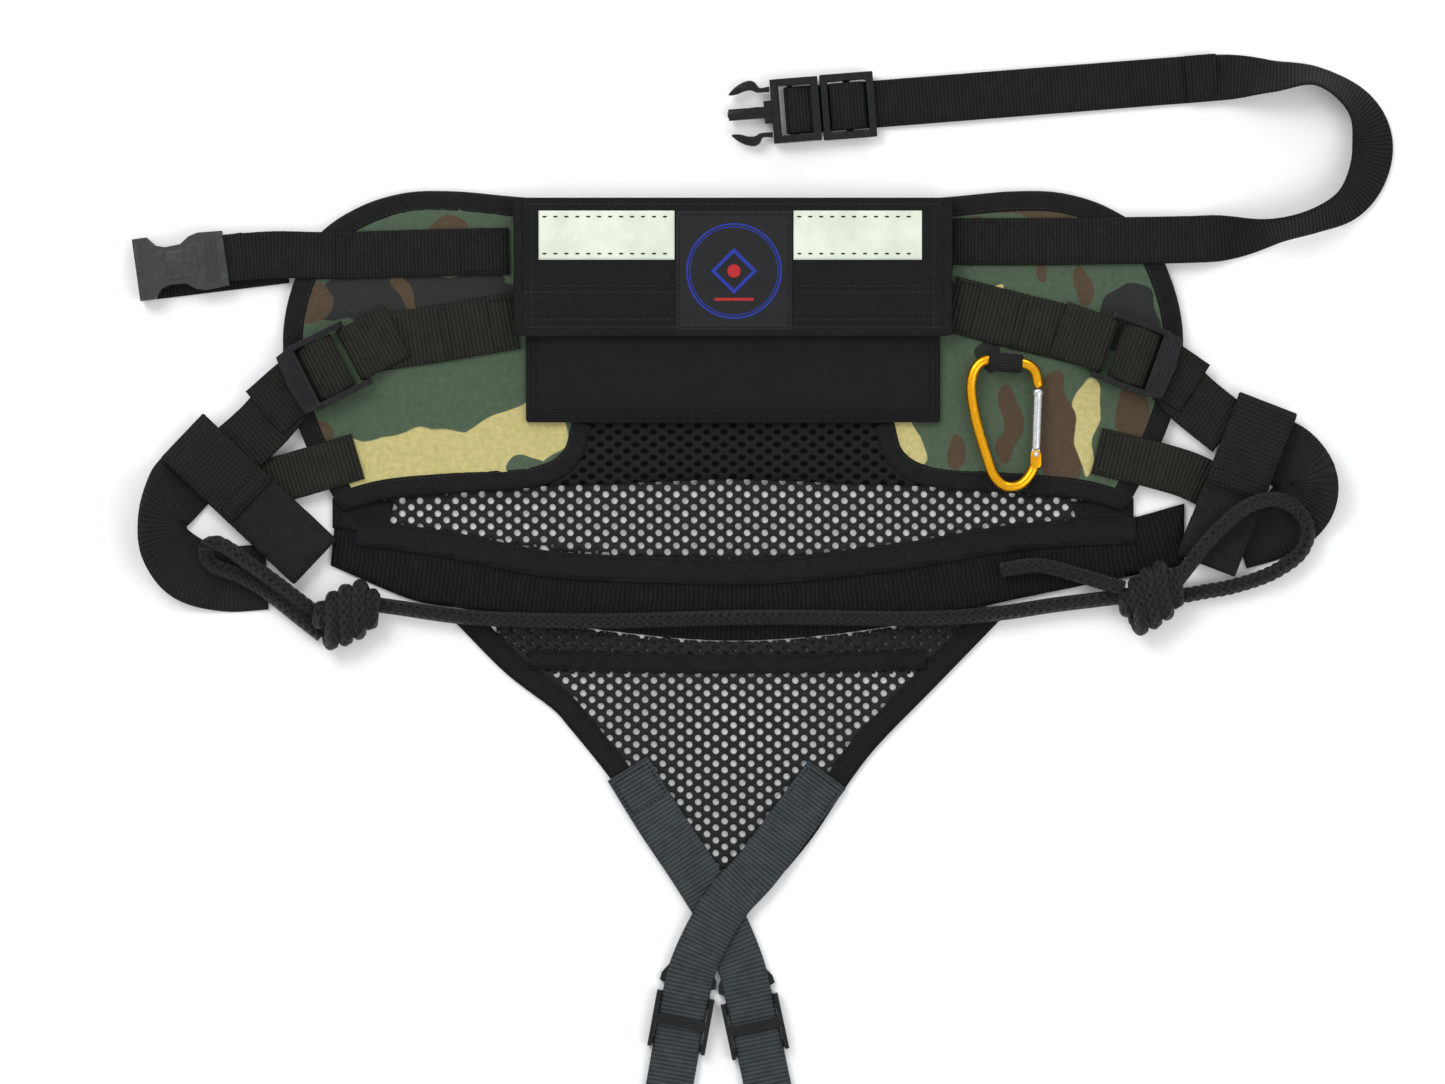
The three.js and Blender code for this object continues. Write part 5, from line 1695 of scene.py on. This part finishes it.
def legs():
    for side, run in LEG_STRAPS.items():
        (px, py, _), (x, y, z) = run[-2:]
        length = math.hypot(x - px, y - py)
        dx, dy = (x - px) / length, (y - py) / length
        hem = [
            [x + dx * 2.5, y + dy * 2.5, z - 0.4], [x + dx * 3, y + dy * 3, z - 1.4],
            [x + dx, y + dy, z - 2.2], [x - dx * 24, y - dy * 24, z - 2.3],
        ]
        strap(f"leg_strap_{side}", [*run, *hem], STRAP, LEG_WEBBING, "leg_webbing")
        (ax, ay, az), (bx, by, _) = run[:2]
        sewn = {"at": (ax, ay), "angle": math.degrees(math.atan2(by - ay, bx - ax))}
        leg_face = az + WEB / 2 + COARSE_THREAD_LIFT
        box_stitch(f"leg_strap_{side}_stitches", sewn, 3, 22, STRAP, leg_face)


CURL_WEBBING = grid_webbing("curl_webbing", (22, 22, 22), 1.8)
TAPE_WEBBING = ribbed_webbing("hip_loop_webbing", (24, 24, 24), 1.2)
waist_straps()
for side_ in ("left", "right"):
    hip_adjuster(side_)
    hip(side_)
legs()


# ---- buckles and sliders --------------------------------------------------------------------------
def turned(frame_, outline):
    """A local outline in the belt's frame."""
    return [place(frame_, x, y) for x, y in outline]


def rounded_box(x0, x1, y0, y1, radius, steps=5):
    """A rectangle's outline with round corners, anticlockwise."""
    outline = []
    corners = [(x1 - radius, y0 + radius, -90), (x1 - radius, y1 - radius, 0)]
    corners += [(x0 + radius, y1 - radius, 90), (x0 + radius, y0 + radius, 180)]
    for x, y, first in corners:
        for k in range(steps + 1):
            angle = math.radians(first + 90 * k / steps)
            outline.append((x + radius * math.cos(angle), y + radius * math.sin(angle)))
    return outline


def plastic(name, outline, low, high, body="belt", round_by=0.6, look=None):
    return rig.slot(rounded_slab(name, outline, low, high, look or PLASTIC, body, round_by), "buckle_plastic")


FEMALE_FACE = 10.9
LEG_BUCKLE_SHARE = 0.18  # how far along its stretch of strap a leg buckle sits


def female_buckle():
    obj = moulded("female_buckle_shell", "female_buckle", PALE_PLASTIC, 0.9, 25)
    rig.slot(obj, "buckle_plastic")
    panel = turned(FEMALE, rounded_box(-8, 9, -7.5, 7.5, 2))
    plastic("female_buckle_panel", panel, FEMALE_FACE, 11.5, round_by=0.3, look=PALE_PLASTIC)
    for i, x in enumerate((13.5, 16.0, 18.5)):
        grip = turned(FEMALE, rounded_box(x - 0.6, x + 0.6, -11, 11, 0.5, 3))
        plastic(f"female_buckle_grip_{i}", grip, FEMALE_FACE, 11.6, round_by=0.3, look=PALE_PLASTIC)
    lip = turned(FEMALE, rounded_box(-23.4, -20.6, -14, 14, 1.2))
    plastic("female_buckle_lip", lip, FEMALE_FACE, 11.4, round_by=0.25, look=PALE_PLASTIC)


def prong_outline(side):
    """A side prong's leaf-shaped head and thin arm, from the buckle's shoulder out to its tip."""
    outer = [(-13.3, 13.6), (-18.6, 13.3), (-20.6, 16.2), (-23.2, 17.4), (-27.5, 16.6)]
    outer += [(-32, 14.1), (-35.4, 11.0)]
    inner = [(-34.6, 10.3), (-30.5, 10.7), (-26.5, 12.0), (-23.0, 12.2), (-20.2, 10.9), (-13.3, 10.7)]
    lines = [flat_spline(outer, 0.8), flat_spline(inner, 0.8)]
    return [(x, y * side) for x, y in lines[0] + lines[1]]


def male_buckle():
    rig.slot(moulded("male_buckle_frame", "male_buckle", PLASTIC, 0.8, 25), "buckle_plastic")
    for side, word, body in [(1, "upper", "prong_upper"), (-1, "lower", "prong_lower")]:
        outline = turned(FRONT, prong_outline(side))
        prong = plastic(f"side_prong_{word}", outline, 3.3, 6.9, body, 0.7)
        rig.replaces(prong, f"buckle_prong_{word}")
        rib = turned(FRONT, [(x, y * side) for x, y in rounded_box(-31, -22.5, 13.0, 14.6, 0.7, 3)])
        plastic(f"side_prong_rib_{word}", rib, 6.7, 7.3, body, 0.25)
    blade = turned(FRONT, [(-36.5, -1.4), (-36.5, 1.4), (-33, 2.6), (-20, 3.2), (-20, -3.2), (-33, -2.6)])
    plastic("male_buckle_blade", blade, 6.1, 6.8, round_by=0.3)
    rail = turned(FRONT, rounded_box(-12.4, -9.2, -14, 14, 1.2))
    plastic("male_buckle_rail", rail, 7.6, 8.5, round_by=0.35)


def front_glide():
    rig.slot(moulded("tri_glide_frame", "tri_glide", PLASTIC, 0.9, 25), "buckle_plastic")
    z = TAIL_Z + WEB / 2 + 0.4
    rise = [(18.75, 0.8), (22.75, 2), (27.75, 3), (32.75, 2), (36.75, 0.8)]
    line = [[*place(FRONT, x), z + up] for x, up in rise]
    strap("glide_hump", line, STRAP, WEBBING, body="glide", step=1.0)


def sliders():
    low = STRAP_Z + WEB * 1.5 + GAP * 2
    top = low + 5.2
    foot = low + WEB / 2 + GAP
    rise = [(-11, foot), (-7, top - 1.6), (-1, top), (5, top - 1.6), (8.6, foot)]
    for side, frame_ in SLIDERS.items():
        body = f"adjuster_{side}"
        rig.slot(moulded(f"slider_frame_{side}", f"slider_{side}", PLASTIC, 1.0, 25), "buckle_plastic")
        line = [[*place(frame_, x), z] for x, z in rise]
        strap(f"slider_hump_{side}", line, ADJUSTER_STRAP, COARSE_WEBBING, body=body, step=1.0)
        for i, x in enumerate((13.0, 15.2, 17.4)):
            grip = turned(frame_, rounded_box(x - 0.5, x + 0.5, -14, 14, 0.45, 3))
            plastic(f"slider_grip_{side}_{i}", grip, top - 1.1, top - 0.5, body, 0.25)


def leg_buckles():
    for side, run in LEG_STRAPS.items():
        (ax, ay, _), (px, py, _) = run[-3:-1]
        body = f"leg_buckle_{side[0]}"
        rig.slot(moulded(f"leg_buckle_frame_{side}", f"leg_buckle_{side}", PLASTIC, 0.7, 25), "buckle_plastic")
        frame_ = {
            "at": (ax + (px - ax) * LEG_BUCKLE_SHARE, ay + (py - ay) * LEG_BUCKLE_SHARE),
            "angle": math.degrees(math.atan2(py - ay, px - ax)) + 90,
        }
        for i, y in enumerate((-8.4, -7.0, -5.6)):
            ridge = turned(frame_, rounded_box(-10.5, 10.5, y - 0.35, y + 0.35, 0.3, 3))
            plastic(f"leg_buckle_ridge_{side}_{i}", ridge, 6.3, 6.8, body, 0.2)


# ---- carabiner ------------------------------------------------------------------------------------
CARABINER_Z = 11.4
TOP_BAR = [(133.5, 20.8), (144.5, 19.8), (155.5, 18.8)]
GATE_PIN = (160.6, -29)
NOSE = (161.8, 8.6)
CARABINER_LOOP = 18
GATE_D = 5.0
PIN_D = 2.0
PIN_HALF = 3.3  # half the pin's length, heads included
CHEEK_OUTER, CHEEK_INNER = 2.9, 1.6  # the cheeks' faces, either side of the carabiner's middle plane
TONGUE_HALF = 1.3


def ball_ended(path, diameter, steps=6):
    """Points and matching diameters for a rod with a rounded far end."""
    path = [Vector(p) for p in path]
    run = (path[-1] - path[-2]).normalized()
    sizes = [diameter] * len(path)
    for k in range(1, steps + 1):
        angle = math.pi / 2 * k / steps
        before = angle - math.pi / 2 / steps
        path.append(path[-1] + run * (diameter / 2 * (math.sin(angle) - math.sin(before))))
        sizes.append(diameter * max(math.cos(angle), 0.06))
    return path, sizes


def swelling_rod(name, path, sizes, material, body, sides=24):
    """A round rod whose diameter changes along it."""
    along = lengths(path)

    def relief(distance, _):
        return (float(np.interp(distance, along, sizes)) - sizes[0]) / 2

    return tube(name, path, sizes[0], material, body, sides, relief)


def carabiner():
    px, py = GATE_PIN
    z = CARABINER_Z
    route = [
        (px, py - 4), (158.2, -39), (152.5, -45), (145, -46), (138.8, -41), (134.5, -30), (127.6, -5),
        (126.4, 9), (128.8, 17), *TOP_BAR, (160, 15.5), NOSE,
    ]
    path = spline([[x, y, z] for x, y in route], 0.8)
    path, sizes = ball_ended(path[:, :3], CARABINER_ROD)
    bow = swelling_rod("carabiner_bow", path, sizes, GOLD, "carabiner")
    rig.replaces(bow, "carabiner_body")
    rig.slot(bow, "gold_anodised")
    cheeks = [("lower", z - CHEEK_OUTER, z - CHEEK_INNER), ("upper", z + CHEEK_INNER, z + CHEEK_OUTER)]
    for word, low, high in cheeks:
        outline = rounded_box(px - 2.9, px + 2.9, py - 7.5, py + 2, 2.4)
        cheek = rounded_slab(f"carabiner_cheek_{word}", outline, low, high, GOLD, "carabiner", 0.4)
        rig.slot(cheek, "gold_anodised")
    low_end, high_end = Vector((px + 0.1, py + 2.2, z)), Vector((NOSE[0], NOSE[1] - 3.2, z))
    run = high_end - low_end
    shares = [0, 0.02, 0.05, 0.1, 0.86, 0.9, 0.91, 0.97, 1.0]
    widths = [3.2, 4.2, 4.9, 5.0, 5.0, 5.0, 5.9, 5.9, 5.2]
    line = even([list(low_end), list(high_end)], 0.5)
    sizes = np.interp(np.linspace(0, 1, len(line)), shares, widths)
    along = lengths(line)

    def gate_swell(distance, _):
        return (float(np.interp(distance, along, sizes)) - GATE_D) / 2

    gate = tube("carabiner_gate_bar", line, GATE_D, STEEL, "gate", 28, gate_swell)
    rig.replaces(gate, "carabiner_gate")
    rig.slot(gate, "bare_steel")
    outline = rounded_box(px - 2.2, px + 2.2, py - 2.4, py + run.length * 0.12, 1.8)
    low, high = z - TONGUE_HALF, z + TONGUE_HALF
    tongue = rounded_slab("carabiner_gate_tongue", outline, low, high, STEEL, "gate", 0.3)
    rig.slot(tongue, "bare_steel")
    head = [(px, py, z + up) for up in (-PIN_HALF, -CHEEK_OUTER, CHEEK_OUTER, PIN_HALF)]
    pin = even(head, 0.2)

    def rivet_head(distance, _):
        off = abs(distance - PIN_HALF)
        return 0.5 * math.cos(min(off / PIN_HALF, 1) * 0.9) if off > CHEEK_OUTER else 0

    rivet = tube("carabiner_rivet", pin, PIN_D, STEEL, "carabiner", 20, rivet_head)
    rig.replaces(rivet, "gate_pin")
    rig.slot(rivet, "bare_steel")

    frame_ = {"at": TOP_BAR[1], "angle": -95}
    radius = CARABINER_ROD / 2 + GAP + WEB / 2 + 0.6
    turn = []
    for degrees in HALF_TURN:
        angle = math.radians(degrees)
        turn.append([*place(frame_, math.cos(angle) * radius), z + math.sin(angle) * radius])
    ends = [[*place(frame_, -4.5), z - radius], [*place(frame_, -4.5), z + radius - 1.6]]
    strap("carabiner_loop", [ends[0], *turn, ends[1]], CARABINER_LOOP, TAPE_WEBBING, "binding_tape", step=1.0)


female_buckle()
male_buckle()
front_glide()
sliders()
leg_buckles()
carabiner()

sizes = {"cad": [list(corner) for corner in cad_box], "visual": [list(corner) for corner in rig.bounds()]}
with open("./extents.json", "w") as out:
    json.dump(sizes, out)
